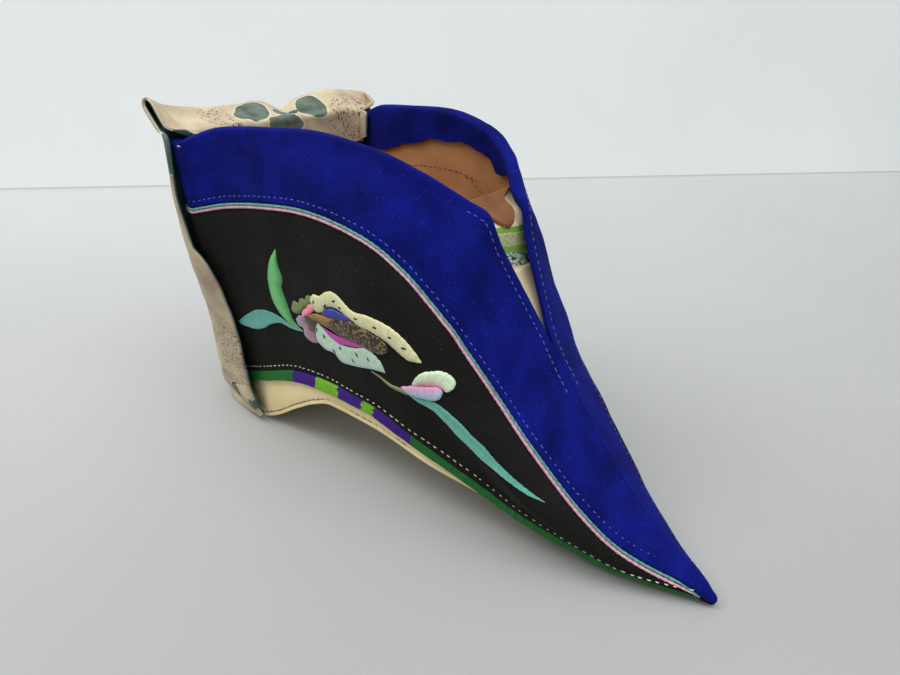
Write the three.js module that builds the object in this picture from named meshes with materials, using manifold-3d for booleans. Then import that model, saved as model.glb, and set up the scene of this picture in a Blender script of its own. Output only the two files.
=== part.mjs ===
// A lotus shoe of cloth: black side panels, a blue collar band folded over the opening, two cords
// between them, a silk-wrapped edge over a cream sole, and a printed cloth band at the heel.
// Millimetres. +X points to the toe, +Z up, and the heel rests on the origin.

import * as THREE from "three";
import { mergeVertices } from "three/addons/utils/BufferGeometryUtils.js";
import Module from "manifold-3d";

const wasm = await Module();
wasm.setup();

// The last
const footLength = 140;
const ballWidth = 42.4;
const instepHeight = 90;
const heelHeight = 9.8;
const archHeight = 22.6;
const collarWidth = 66;
const sideBulge = 6.6;
const backLeanTop = 5;
const backLeanMiddle = 3.4;
const heelRoundBottom = 11;
const heelRoundTop = 6;
const heelCrown = 1.2;
const soleUndercut = 0.15;

// Cloth, board and thread
const seamGap = 0.3;
const bandThickness = 0.8;
const liningLayer = 1.0;
const facingThickness = 0.7;
const facingDepth = 9;
const edgeHeight = 3;
const outsoleThickness = 1.3;
const soleInset = 0.9;
const insoleThickness = 1.2;
const foldHeight = 2.2;
const foldProud = 0.5;
const cordDiameter = 0.9;
const cordProud = 0.6;
const tongueThickness = 1.0;
const tongueWidthAlong = 24;
const tongueAhead = 8;
const heelClothThickness = 0.9;
const heelClothWrap = 1.5;
const heelClothClear = 1.0;
const heelClothFlare = 3.0;
const heelLoopReach = 8.6;
const heelLoopRise = 9.4;
const heelLoopSag = 1.8;
const heelLoopFar = 0.55;
const flapDepth = 8;
const flapTuck = 0.5;

const innerLayer = bandThickness + seamGap;
const wallThickness = innerLayer + liningLayer;
const facingOuter = wallThickness + seamGap;
const facingInner = facingOuter + facingThickness;
const foreHeight = outsoleThickness + seamGap;
const cordChannel = 2 * cordDiameter + 4 * seamGap;
const cordSunk = cordDiameter / 2 - cordProud;

// One row for each cross section, from the back edge of the side (0) to the toe (1).
// heel, arch, fore: the feather line, as shares of heelHeight, archHeight and foreHeight
// breadth: half width there, of half the ballWidth; wedge: sole below it, of the heelHeight
const lastRows = [
  { at: 0.0, heel: 1.0, arch: 0.0, fore: 0.0, breadth: 0.83, wedge: 1.2, edge: 1.0 },
  { at: 0.06, heel: 0.82, arch: 0.22, fore: 0.0, breadth: 0.93, wedge: 1.12, edge: 1.0 },
  { at: 0.12, heel: 0.6, arch: 0.45, fore: 0.0, breadth: 0.99, wedge: 1.0, edge: 1.0 },
  { at: 0.25, heel: 0.25, arch: 0.82, fore: 0.0, breadth: 1.0, wedge: 0.44, edge: 1.0 },
  { at: 0.4, heel: 0.0, arch: 1.0, fore: 0.0, breadth: 1.0, wedge: 0.28, edge: 1.0 },
  { at: 0.55, heel: 0.0, arch: 0.71, fore: 0.0, breadth: 0.885, wedge: 0.12, edge: 0.95 },
  { at: 0.7, heel: 0.0, arch: 0.35, fore: 0.1, breadth: 0.685, wedge: 0.02, edge: 0.85 },
  { at: 0.8, heel: 0.0, arch: 0.1, fore: 0.75, breadth: 0.5, wedge: 0.0, edge: 0.75 },
  { at: 0.86, heel: 0.0, arch: 0.0, fore: 1.0, breadth: 0.38, wedge: 0.0, edge: 0.65 },
  { at: 0.95, heel: 0.0, arch: 0.0, fore: 1.0, breadth: 0.175, wedge: 0.0, edge: 0.5 },
  { at: 1.0, heel: 0.0, arch: 0.0, fore: 1.25, breadth: 0.05, wedge: 0.0, edge: 0.4 },
];

// The top line: the collar edge back of the throat, the vamp's ridge in front of it.
// height: of the instepHeight; spread: of half the collarWidth; bulge: of the sideBulge
// hollow: how late up the side turns inward; cord: the cord's place up the side
const topRows = [
  { at: 0.0, height: 0.911, spread: 1.0, bulge: 0.39, hollow: 0.95, cord: 0.762 },
  { at: 0.08, height: 0.962, spread: 0.87, bulge: 0.45, hollow: 1.1, cord: 0.742 },
  { at: 0.18, height: 0.983, spread: 0.79, bulge: 0.56, hollow: 1.33, cord: 0.735 },
  { at: 0.29, height: 0.998, spread: 0.735, bulge: 0.7, hollow: 1.65, cord: 0.722 },
  { at: 0.39, height: 0.982, spread: 0.62, bulge: 0.83, hollow: 2.05, cord: 0.707 },
  { at: 0.47, height: 0.938, spread: 0.45, bulge: 0.91, hollow: 2.35, cord: 0.68 },
  { at: 0.56, height: 0.778, spread: 0.17, bulge: 0.97, hollow: 2.6, cord: 0.658 },
  { at: 0.65, height: 0.551, spread: 0.0, bulge: 1.0, hollow: 2.8, cord: 0.668 },
  { at: 0.72, height: 0.408, spread: 0.0, bulge: 1.0, hollow: 2.95, cord: 0.668 },
  { at: 0.79, height: 0.283, spread: 0.0, bulge: 0.85, hollow: 2.95, cord: 0.63 },
  { at: 0.86, height: 0.186, spread: 0.0, bulge: 0.6, hollow: 2.7, cord: 0.555 },
  { at: 0.93, height: 0.107, spread: 0.0, bulge: 0.3, hollow: 2.45, cord: 0.48 },
  { at: 1.0, height: 0.053, spread: 0.0, bulge: 0.03, hollow: 2.2, cord: 0.3 },
];
const throat = 0.65;
const throatNarrow = 3;
const throatStations = [0.4, 0.47, 0.51, 0.54, 0.57, 0.59, 0.61, 0.63, throat];

// A smooth line through one column of a table, with no overshoot between rows.
function along(rows, column) {
  const x = rows.map((row) => row.at);
  const y = rows.map((row) => row[column]);
  const last = rows.length - 1;
  const step = x.slice(1).map((value, i) => value - x[i]);
  const rise = step.map((value, i) => (y[i + 1] - y[i]) / value);
  const slope = y.map((value, i) => {
    if (i === 0) return rise[0];
    if (i === last) return rise[last - 1];
    if (rise[i - 1] * rise[i] <= 0) return 0;
    return 2 / (1 / rise[i - 1] + 1 / rise[i]);
  });
  return (at) => {
    let i = 0;
    while (i < last - 1 && at > x[i + 1]) i += 1;
    const t = Math.min(Math.max((at - x[i]) / step[i], 0), 1);
    const flat = t * t * (3 - 2 * t);
    const lean = t * (1 - t) * ((1 - t) * slope[i] - t * slope[i + 1]);
    return y[i] + (y[i + 1] - y[i]) * flat + lean * step[i];
  };
}

const column = {};
for (const name of ["heel", "arch", "fore", "breadth", "wedge", "edge"]) {
  column[name] = along(lastRows, name);
}
for (const name of ["height", "spread", "bulge", "hollow", "cord"]) {
  column[name] = along(topRows, name);
}

// Heights of the lines along the side, at a share of the length
function featherAt(at) {
  return heelHeight * column.heel(at) + archHeight * column.arch(at) + foreHeight * column.fore(at);
}
function topAt(at) {
  return instepHeight * column.height(at);
}
function edgeTopAt(at) {
  return featherAt(at) + edgeHeight * column.edge(at);
}
function soleBottomAt(at) {
  const depth = outsoleThickness + seamGap + heelHeight * column.wedge(at);
  return Math.max(0, featherAt(at) - depth);
}

// How far the back edge of the side leans forward, and how round the heel is, at a share up the side
function backEdge(up) {
  return backLeanTop * up + backLeanMiddle * 4 * up * (1 - up);
}
function heelRound(up) {
  return THREE.MathUtils.lerp(heelRoundBottom, heelRoundTop, THREE.MathUtils.clamp(up, 0, 1));
}

// Half width at a share of the length and a share up the side. Below the feather line it narrows.
function halfWidth(at, up) {
  const low = (ballWidth / 2) * column.breadth(at);
  if (up < 0) return low + up * (topAt(at) - featherAt(at)) * soleUndercut;
  const high = (collarWidth / 2) * column.spread(at);
  const swell = sideBulge * column.bulge(at) * 4 * up * (1 - up);
  return low + (high - low) * up ** column.hollow(at) + swell;
}

// A point of the shoe's right side. around: -1 at the middle of the back, 0 at the side's back edge,
// 1 at the toe. The back is nearly flat and turns into the side by an arc.
function sidePoint(around, up) {
  const at = Math.max(around, 0);
  const z = featherAt(at) + (topAt(at) - featherAt(at)) * up;
  const edge = backEdge(Math.max(up, 0));
  const half = halfWidth(at, up);
  if (around >= 0) return new THREE.Vector3(edge + at * (footLength - edge), -half, z);
  const radius = heelRound(up);
  const flat = half - radius;
  if (around < -0.5) {
    const across = (around + 1) * 2;
    const behind = radius + heelCrown * (1 - across * across);
    return new THREE.Vector3(edge - behind, -flat * across, z);
  }
  const angle = (around + 0.5) * Math.PI;
  return new THREE.Vector3(edge - radius * Math.cos(angle), -flat - radius * Math.sin(angle), z);
}

// The same point moved inward by a depth, or outward where the depth is negative
function insetPoint(around, up, depth) {
  const point = sidePoint(around, up);
  const small = 0.004;
  const back = sidePoint(Math.max(around - small, -1), up);
  const front = sidePoint(Math.min(around + small, 1), up);
  const low = sidePoint(around, up - small);
  const high = sidePoint(around, up + small);
  const inward = high.sub(low).cross(front.sub(back)).normalize();
  if (around === -1) inward.setY(0).normalize();
  return point.addScaledVector(inward, depth);
}

function solidFrom(geometry) {
  const bare = new THREE.BufferGeometry();
  bare.setAttribute("position", geometry.getAttribute("position"));
  bare.setIndex(geometry.getIndex());
  const merged = mergeVertices(bare, 1e-4);
  return new wasm.Manifold(
    new wasm.Mesh({
      numProp: 3,
      vertProperties: new Float32Array(merged.attributes.position.array),
      triVerts: new Uint32Array(merged.index.array),
    }),
  );
}

function geometryFrom(solid) {
  const mesh = solid.getMesh();
  const geometry = new THREE.BufferGeometry();
  geometry.setAttribute("position", new THREE.BufferAttribute(new Float32Array(mesh.vertProperties), 3));
  geometry.setIndex(new THREE.BufferAttribute(new Uint32Array(mesh.triVerts), 1));
  return geometry;
}

// A closed body between two grids of points of the same size
function bodyBetween(front, rear) {
  const rows = front.length;
  const columns = front[0].length;
  const positions = [];
  for (const point of [...front.flat(), ...rear.flat()]) {
    positions.push(point.x, point.y, point.z);
  }
  const place = (side, i, j) => side * rows * columns + i * columns + j;
  const index = [];
  const quad = (a, b, c, d) => index.push(a, b, c, a, c, d);
  const lastRow = rows - 1;
  const lastColumn = columns - 1;
  for (let i = 0; i < lastRow; i += 1) {
    for (let j = 0; j < lastColumn; j += 1) {
      quad(place(0, i, j), place(0, i, j + 1), place(0, i + 1, j + 1), place(0, i + 1, j));
      quad(place(1, i, j), place(1, i + 1, j), place(1, i + 1, j + 1), place(1, i, j + 1));
    }
    const far = [place(0, i + 1, lastColumn), place(0, i, lastColumn)];
    quad(place(0, i, 0), place(0, i + 1, 0), place(1, i + 1, 0), place(1, i, 0));
    quad(...far, place(1, i, lastColumn), place(1, i + 1, lastColumn));
  }
  for (let j = 0; j < lastColumn; j += 1) {
    const far = [place(0, lastRow, j), place(0, lastRow, j + 1)];
    quad(place(0, 0, j + 1), place(0, 0, j), place(1, 0, j), place(1, 0, j + 1));
    quad(...far, place(1, lastRow, j + 1), place(1, lastRow, j));
  }
  const geometry = new THREE.BufferGeometry();
  geometry.setAttribute("position", new THREE.Float32BufferAttribute(positions, 3));
  geometry.setIndex(index);
  return geometry;
}

function mirrored(geometry) {
  const copy = geometry.clone().scale(1, -1, 1);
  const index = copy.getIndex();
  for (let i = 0; i < index.count; i += 3) {
    const first = index.getX(i);
    index.setX(i, index.getX(i + 2));
    index.setX(i + 2, first);
  }
  return copy;
}

// The whole form of the shoe, moved inward by a depth: what lies inside both of its sides
const backStations = [-1, -0.7, -0.5, -0.34, -0.16];
const sideStations = [
  0, 0.05, 0.1, 0.16, 0.23, 0.3, 0.37, 0.44, 0.5, 0.555, 0.605, throat, 0.7, 0.75, 0.8, 0.85, 0.9, 0.95, 1,
];
const upStations = [0, 0.1, 0.21, 0.34, 0.47, 0.6, 0.72, 0.83, 0.92, 1, 1.12, 1.24];
const farSide = collarWidth;

function formAt(depth) {
  const stations = [...backStations, ...sideStations];
  const grid = [];
  const belowFloor = 1;
  const under = stations.map((around) => {
    const at = Math.max(around, 0);
    const drop = (featherAt(at) + belowFloor) / (topAt(at) - featherAt(at));
    return insetPoint(around, -drop, depth);
  });
  grid.push(under);
  for (const up of upStations) grid.push(stations.map((around) => insetPoint(around, up, depth)));
  for (const row of grid) row[0].setY(0);
  const opposite = grid.map((row) => row.map((point) => point.clone().setY(farSide)));
  const side = bodyBetween(grid, opposite);
  return solidFrom(side).intersect(solidFrom(mirrored(side)));
}

// Lines of the side view, as points of x and z
const lineStations = [];
const lineSteps = 26;
for (let i = 0; i <= lineSteps; i += 1) lineStations.push(i / lineSteps);

function lineAt(at, z) {
  const up = Math.max((z - featherAt(at)) / (topAt(at) - featherAt(at)), 0);
  const edge = backEdge(up);
  return new THREE.Vector2(edge + at * (footLength - edge), z);
}
function lineOf(heightAt, from = 0, to = 1) {
  return lineStations.map((step) => {
    const at = from + (to - from) * step;
    return lineAt(at, heightAt(at));
  });
}

// A line moved sideways by a distance, up where it is positive
function lineBeside(line, distance) {
  return line.map((point, i) => {
    const before = line[Math.max(i - 1, 0)];
    const after = line[Math.min(i + 1, line.length - 1)];
    const run = after.clone().sub(before).normalize();
    return point.clone().add(new THREE.Vector2(-run.y, run.x).multiplyScalar(distance));
  });
}

// A seam that runs along the side at a share of its height, moved up over the surface by a distance.
// Where the side gets low at the toe, the distance tapers away.
const cordEnd = 0.95;
function seamOf(upAt, distance = 0, depth = 0) {
  const ends = lineStations.map((at) => sidePoint(at, upAt(at)));
  return lineStations.map((at, i) => {
    const point = insetPoint(at, upAt(at), depth);
    const inward = insetPoint(at, upAt(at), 1).sub(sidePoint(at, upAt(at)));
    const run = ends[Math.min(i + 1, lineSteps)].clone().sub(ends[Math.max(i - 1, 0)]);
    const taper = THREE.MathUtils.clamp((1 - at) / (1 - cordEnd), 0, 1);
    const reach = distance > 0 ? THREE.MathUtils.lerp(seamGap, distance, taper) : 0;
    return point.addScaledVector(run.cross(inward).normalize(), reach);
  });
}
function sideViewOf(points) {
  return points.map((point) => new THREE.Vector2(point.x, point.z));
}

// A line that goes on straight, level at the back and in its own direction at the front
const beyond = 60;
function runOut(line, endX = footLength + beyond) {
  const first = line[0];
  const last = line[line.length - 1];
  const run = last.clone().sub(line[line.length - 2]);
  const onward = last.clone().addScaledVector(run, Math.max(endX - last.x, 0) / run.x);
  return [new THREE.Vector2(-beyond, first.y), ...line, onward];
}

// Everything under a line, across the whole width
function under(line, floor = -beyond) {
  const outline = new THREE.Shape([
    ...line,
    new THREE.Vector2(line[line.length - 1].x, floor),
    new THREE.Vector2(line[0].x, floor),
  ]);
  const block = new THREE.ExtrudeGeometry(outline, { depth: 2 * farSide, bevelEnabled: false });
  block.rotateX(Math.PI / 2).translate(0, farSide, 0);
  return solidFrom(mergeVertices(block.deleteAttribute("uv").deleteAttribute("normal")));
}

// Everything under a line of the collar, and all of what lies in front of the line's end
const skyHeight = 2 * instepHeight;
function underCollar(line, endX) {
  const open = runOut(line, endX);
  const wallX = open[open.length - 1].x;
  const sky = [new THREE.Vector2(wallX, skyHeight), new THREE.Vector2(footLength + beyond, skyHeight)];
  return under([...open, ...sky]);
}

function between(lower, upper) {
  return under(upper).subtract(under(lower));
}

// The lines themselves
const throatX = lineAt(throat, topAt(throat)).x;
const collarLine = lineOf(topAt, 0, throat);
const featherLine = lineOf(featherAt);
const edgeTopLine = lineOf(edgeTopAt);
const soleLine = lineOf(soleBottomAt);
const cordUp = (at) => {
  const lowest = edgeTopAt(at) + seamGap - featherAt(at);
  return Math.max(column.cord(at), lowest / (topAt(at) - featherAt(at)));
};
const cordLine = sideViewOf(seamOf(cordUp));
const cordChannelTop = sideViewOf(seamOf(cordUp, cordChannel));

// The throat seen from above: open between its two edges, or between the walls where they stand apart
function throatSlot(wider) {
  const edge = throatStations.map((at) => {
    const spread = (collarWidth / 2) * column.spread(at);
    return new THREE.Vector2(lineAt(at, topAt(at)).x, Math.min(spread, (throatNarrow + spread) / 2));
  });
  const right = lineBeside(edge, wider);
  const tip = new THREE.Vector2(throatX + 2 * wider, 0);
  const left = right.map((point) => new THREE.Vector2(point.x, -point.y)).reverse();
  const outline = wider > 0 ? [...right, tip, ...left] : [...right, ...left.slice(1)];
  const slot = new THREE.ExtrudeGeometry(new THREE.Shape(outline), { depth: skyHeight, bevelEnabled: false });
  return solidFrom(slot);
}

const form = {
  fold: formAt(-foldProud),
  outside: formAt(0),
  sole: formAt(soleInset),
  underBand: formAt(bandThickness),
  layer: formAt(innerLayer),
  wall: formAt(wallThickness),
  insole: formAt(wallThickness + seamGap),
  facing: formAt(facingOuter),
  cavity: formAt(facingInner),
  tongue: formAt(facingInner + seamGap),
};

// The upper: one hollow wall, thinner under the collar band, with a proud fold above the edge
function makeUpper() {
  const footing = runOut(lineBeside(edgeTopLine, seamGap));
  const foldTop = runOut(lineBeside(edgeTopLine, seamGap + foldHeight));
  const panel = form.outside.intersect(under(runOut(cordLine)));
  const layer = form.layer.intersect(underCollar(lineBeside(collarLine, -innerLayer), throatX + innerLayer));
  const fold = form.fold.intersect(between(footing, foldTop)).intersect(under(runOut(cordLine)));
  const wall = panel.add(layer).add(fold).subtract(form.wall);
  return wall.subtract(under(footing)).subtract(throatSlot(innerLayer));
}

// The collar band: from the cords up, over the collar edge and down inside as a facing
function makeCollarBand() {
  const start = under(runOut(cordChannelTop));
  const facing = form.facing.subtract(underCollar(lineBeside(collarLine, -facingDepth), throatX));
  const hollow = form.underBand
    .intersect(underCollar(lineBeside(collarLine, -bandThickness), throatX + bandThickness))
    .subtract(facing)
    .subtract(throatSlot(bandThickness))
    .add(form.cavity)
    .add(throatSlot(0));
  return form.outside.intersect(underCollar(collarLine, throatX)).subtract(start).subtract(hollow);
}

function makeEdgeBoard() {
  return form.outside.intersect(between(runOut(featherLine), runOut(edgeTopLine)));
}

function makeHeelWedge() {
  const top = lineBeside(featherLine, -seamGap);
  const bottom = lineBeside(soleLine, outsoleThickness + seamGap);
  return form.sole.intersect(between(runOut(bottom), runOut(top)));
}

function makeOutsole() {
  const top = lineBeside(soleLine, outsoleThickness);
  return form.sole.intersect(between(runOut(soleLine), runOut(top)));
}

function makeInsole() {
  const bottom = lineBeside(edgeTopLine, seamGap);
  const top = lineBeside(edgeTopLine, seamGap + insoleThickness);
  return form.insole.intersect(between(runOut(bottom), runOut(top)));
}

// The tongue: a cream gusset that bridges the throat a little below its edges
function makeTongue() {
  const top = lineBeside(collarLine, -facingInner - seamGap);
  const bottom = lineBeside(collarLine, -facingInner - seamGap - tongueThickness);
  const end = throatX + tongueAhead;
  const start = end - tongueWidthAlong;
  const strip = underCollar(top, end).subtract(underCollar(bottom, end));
  const reach = new THREE.Shape([
    new THREE.Vector2(start, 0),
    new THREE.Vector2(end, 0),
    new THREE.Vector2(end, skyHeight),
    new THREE.Vector2(start, skyHeight),
  ]);
  const span = new THREE.ExtrudeGeometry(reach, { depth: 2 * farSide, bevelEnabled: false });
  span.rotateX(Math.PI / 2).translate(0, farSide, 0);
  return form.tongue.intersect(strip).intersect(solidFrom(span));
}

// A cord in the channel between the panel and the collar band, at a distance above the cord line
const cordStart = 0.03;
function makeCord(distance) {
  const seam = seamOf(cordUp, distance, cordSunk);
  const points = seam.filter((point, i) => lineStations[i] >= cordStart && lineStations[i] <= cordEnd);
  const route = new THREE.CatmullRomCurve3(points);
  const sides = 6;
  const section = new THREE.Shape();
  for (let i = 0; i < sides; i += 1) {
    const angle = (2 * Math.PI * i) / sides;
    const corner = [(cordDiameter / 2) * Math.cos(angle), (cordDiameter / 2) * Math.sin(angle)];
    if (i === 0) section.moveTo(...corner);
    else section.lineTo(...corner);
  }
  const cord = new THREE.ExtrudeGeometry(section, { steps: 32, extrudePath: route, bevelEnabled: false });
  return mergeVertices(cord.deleteAttribute("uv").deleteAttribute("normal"), 1e-4);
}

// The heel band follows the back from the floor to the collar, stands up from it as an open loop
// that leans back, and hangs down inside as a flap. up: share up the back, or down the heel where it
// is negative; clear: gap to the back at its middle, of heelClothClear; flare: more at its side edges,
// of heelClothFlare; thick: of heelClothThickness; wrap: reach round onto the side, of heelClothWrap
const heelRows = [
  { up: -0.9, clear: 0.4, flare: 0.23, thick: 2.4, wrap: 3.67 },
  { up: -0.52, clear: 0.4, flare: 0.47, thick: 2.4, wrap: 3.67 },
  { up: 0.0, clear: 0.6, flare: 0.8, thick: 1.8, wrap: 2.4 },
  { up: 0.045, clear: 0.95, flare: 0.83, thick: 1.2, wrap: 1.33 },
  { up: 0.13, clear: 1.0, flare: 1.0, thick: 1.0, wrap: 1.0 },
  { up: 0.34, clear: 0.9, flare: 1.0, thick: 1.0, wrap: 1.0 },
  { up: 0.6, clear: 0.7, flare: 0.8, thick: 1.0, wrap: 1.0 },
  { up: 0.83, clear: 0.5, flare: 0.33, thick: 1.0, wrap: 1.0 },
  { up: 1.0, clear: 0.45, flare: 0.1, thick: 1.0, wrap: 1.0 },
];
// The loop. back: share of heelLoopReach; rise: share of heelLoopRise; cross: share of the wall crossed
const loopRows = [
  { back: 0.35, rise: 0.26, cross: 0.0 },
  { back: 0.72, rise: 0.62, cross: 0.0 },
  { back: 0.93, rise: 0.85, cross: 0.06 },
  { back: 0.86, rise: 0.99, cross: 0.14 },
  { back: 0.62, rise: 0.95, cross: 0.3 },
  { back: 0.34, rise: 0.66, cross: 0.5 },
  { back: 0.06, rise: 0.4, cross: 0.75 },
  { back: 0.0, rise: 0.22, cross: 1.0 },
];
const flapRows = [{ down: 0.12 }, { down: 0.45 }, { down: 1.0 }];
const flareFrom = -1;
const flareTo = -0.3;

function makeHeelBand() {
  const backHeight = topAt(0) - featherAt(0);
  const half = collarWidth / 2;
  const rowOf = ({ up, clear = 0, flare = 0, wrap, back = 0, rise = 0 }, depth) => {
    const level = up < 0 ? (up * featherAt(0)) / backHeight : up;
    const right = [...backStations, 0, (wrap * heelClothWrap) / footLength].map((around) => {
      const edge = THREE.MathUtils.smoothstep(around, flareFrom, flareTo);
      return insetPoint(around, level, depth - clear * heelClothClear - flare * edge);
    });
    const left = right.slice(1).map((point) => point.clone().setY(-point.y));
    const row = [...left.reverse(), ...right];
    for (const point of row) {
      const share = THREE.MathUtils.lerp(heelLoopFar, 1, 0.5 - point.y / collarWidth);
      const sag = 1 - (heelLoopSag / heelLoopRise) * (1 - (point.y / half) ** 2);
      point.x -= back * heelLoopReach * share;
      point.z += rise * heelLoopRise * share * sag;
    }
    return row;
  };

  const inside = facingInner + seamGap + heelClothThickness / 2;
  const outside = -2 * seamGap - heelClothThickness / 2;
  const rows = heelRows.map((row) => {
    const thick = row.thick * heelClothThickness;
    return { points: rowOf({ ...row, flare: row.flare * heelClothFlare }, -thick / 2), thick };
  });
  for (const row of loopRows) {
    const depth = THREE.MathUtils.lerp(outside, inside, row.cross);
    const points = rowOf({ ...row, up: 1, wrap: 1, flare: -flapTuck * row.cross }, depth);
    rows.push({ points, thick: heelClothThickness });
  }
  for (const row of flapRows) {
    const up = 1 - (row.down * flapDepth) / backHeight;
    const points = rowOf({ up, wrap: 0, flare: -flapTuck }, inside);
    rows.push({ points, thick: heelClothThickness });
  }

  const offsetGrid = (sign) =>
    rows.map((row, i) =>
      row.points.map((point, j) => {
        const before = rows[Math.max(i - 1, 0)].points[j];
        const after = rows[Math.min(i + 1, rows.length - 1)].points[j];
        const left = row.points[Math.max(j - 1, 0)];
        const right = row.points[Math.min(j + 1, row.points.length - 1)];
        const normal = after.clone().sub(before).cross(right.clone().sub(left)).normalize();
        return point.clone().addScaledVector(normal, (sign * row.thick) / 2);
      }),
    );
  return bodyBetween(offsetGrid(-1), offsetGrid(1));
}

// Colours and surface of each cloth
const finish = {
  panel: { color: 0x262422, roughness: 0.9 },
  band: { color: 0x1c2288, roughness: 0.92 },
  tealCord: { color: 0x6ea59b, roughness: 0.6 },
  pinkCord: { color: 0xcd96aa, roughness: 0.6 },
  edge: { color: 0x266934, roughness: 0.55 },
  cream: { color: 0xe1cda0, roughness: 0.95 },
  lining: { color: 0xa06e4b, roughness: 0.95 },
  print: { color: 0xb9af96, roughness: 0.9 },
};

const shoe = new THREE.Group();
function place(name, geometry, look) {
  const piece = new THREE.Mesh(geometry, new THREE.MeshStandardMaterial({ ...look, metalness: 0 }));
  piece.name = name;
  shoe.add(piece);
}

place("upper", geometryFrom(makeUpper()), finish.panel);
place("collar_band", geometryFrom(makeCollarBand()), finish.band);
place("edge_board", geometryFrom(makeEdgeBoard()), finish.edge);
place("heel_wedge", geometryFrom(makeHeelWedge()), finish.cream);
place("outsole", geometryFrom(makeOutsole()), finish.cream);
place("insole", geometryFrom(makeInsole()), finish.lining);
place("tongue", geometryFrom(makeTongue()), finish.cream);
place("heel_band", makeHeelBand(), finish.print);

const pinkCord = makeCord(2 * seamGap + cordDiameter / 2);
const tealCord = makeCord(3 * seamGap + 1.5 * cordDiameter);
place("cord_pink_right", pinkCord, finish.pinkCord);
place("cord_pink_left", mirrored(pinkCord), finish.pinkCord);
place("cord_teal_right", tealCord, finish.tealCord);
place("cord_teal_left", mirrored(tealCord), finish.tealCord);

export default shoe;
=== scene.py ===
import math

import bpy
import numpy as np
from mathutils import Matrix, Vector


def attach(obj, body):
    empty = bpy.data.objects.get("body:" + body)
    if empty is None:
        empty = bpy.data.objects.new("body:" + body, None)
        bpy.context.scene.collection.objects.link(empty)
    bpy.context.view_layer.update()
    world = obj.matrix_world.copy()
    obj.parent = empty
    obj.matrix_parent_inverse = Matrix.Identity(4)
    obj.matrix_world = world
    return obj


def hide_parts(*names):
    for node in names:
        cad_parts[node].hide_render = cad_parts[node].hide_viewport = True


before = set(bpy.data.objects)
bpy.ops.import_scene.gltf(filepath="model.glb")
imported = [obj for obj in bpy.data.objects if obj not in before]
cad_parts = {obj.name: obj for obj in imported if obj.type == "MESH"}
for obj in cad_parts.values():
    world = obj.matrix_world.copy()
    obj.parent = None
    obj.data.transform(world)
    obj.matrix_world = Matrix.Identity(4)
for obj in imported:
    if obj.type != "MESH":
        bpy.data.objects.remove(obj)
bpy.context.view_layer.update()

mm = 0.001
cm = 0.01

# The last that every piece follows, in metres
shoe = {
    "footLength": 140 * mm,
    "ballWidth": 42.4 * mm,
    "instepHeight": 90 * mm,
    "heelHeight": 9.8 * mm,
    "archHeight": 22.6 * mm,
    "foreHeight": 1.6 * mm,
    "collarWidth": 66 * mm,
    "sideBulge": 6.6 * mm,
    "backLeanTop": 5 * mm,
    "backLeanMiddle": 3.4 * mm,
    "heelRoundBottom": 11 * mm,
    "heelRoundTop": 6 * mm,
    "heelCrown": 1.2 * mm,
    "soleUndercut": 0.05,
    "edgeHeight": 3 * mm,
    "throat": 0.65,  # where the opening's V ends, as a share of the length
    "seamGap": 0.3 * mm,
    "wall": 3.1 * mm,  # cloth, backing, lining and facing together at the collar
    "thinWall": 1.5 * mm,  # the same at the throat
    "throatNarrow": 3 * mm,
}

# Per cross section: at, then heel, arch and fore shares of the feather line, breadth, wedge, edge
lastRows = np.array([
    [0.00, 0.90, 0.000, 0.00, 0.830, 1.20, 1.22],
    [0.06, 0.82, 0.195, 0.00, 0.930, 1.23, 1.22],
    [0.12, 0.60, 0.457, 0.00, 0.990, 1.16, 1.20],
    [0.20, 0.36, 0.764, 0.00, 1.000, 0.83, 1.17],
    [0.25, 0.25, 0.883, 0.00, 1.000, 0.54, 1.15],
    [0.30, 0.16, 0.962, 0.00, 1.000, 0.35, 1.12],
    [0.40, 0.00, 1.053, 0.00, 1.000, 0.37, 1.05],
    [0.55, 0.00, 0.743, 0.00, 0.885, 0.18, 0.95],
    [0.70, 0.00, 0.369, 0.10, 0.685, 0.04, 0.80],
    [0.80, 0.00, 0.137, 0.75, 0.500, 0.00, 0.66],
    [0.86, 0.00, 0.030, 1.00, 0.380, 0.00, 0.56],
    [0.95, 0.00, 0.000, 1.00, 0.175, 0.00, 0.42],
    [0.975, 0.00, 0.000, 1.00, 0.115, 0.00, 0.36],
    [0.99, 0.00, 0.000, 0.80, 0.078, 0.00, 0.06],
    [1.00, 0.00, 0.000, 0.60, 0.056, 0.00, 0.03],
])

# Per cross section: at, then height, spread, bulge, hollow and the cord's place up the side
topRows = np.array([
    [0.00, 0.911, 1.000, 0.39, 0.95, 0.762],
    [0.08, 0.962, 0.870, 0.45, 1.10, 0.742],
    [0.18, 0.983, 0.790, 0.56, 1.33, 0.735],
    [0.29, 0.998, 0.735, 0.70, 1.65, 0.722],
    [0.39, 0.982, 0.638, 0.83, 2.05, 0.707],
    [0.47, 0.936, 0.478, 0.91, 2.35, 0.681],
    [0.52, 0.878, 0.292, 0.95, 2.50, 0.651],
    [0.545, 0.848, 0.205, 0.96, 2.56, 0.634],
    [0.565, 0.775, 0.156, 0.97, 2.61, 0.651],
    [0.62, 0.626, 0.052, 1.00, 2.74, 0.665],
    [0.65, 0.551, 0.008, 1.00, 2.80, 0.668],
    [0.72, 0.408, 0.000, 1.00, 2.95, 0.668],
    [0.79, 0.283, 0.000, 0.85, 2.95, 0.630],
    [0.86, 0.186, 0.000, 0.60, 2.70, 0.555],
    [0.93, 0.108, 0.000, 0.30, 2.45, 0.480],
    [0.97, 0.079, 0.000, 0.15, 2.35, 0.370],
    [0.985, 0.067, 0.000, 0.08, 2.30, 0.230],
    [1.00, 0.046, 0.000, 0.03, 2.20, 0.060],
])


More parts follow.
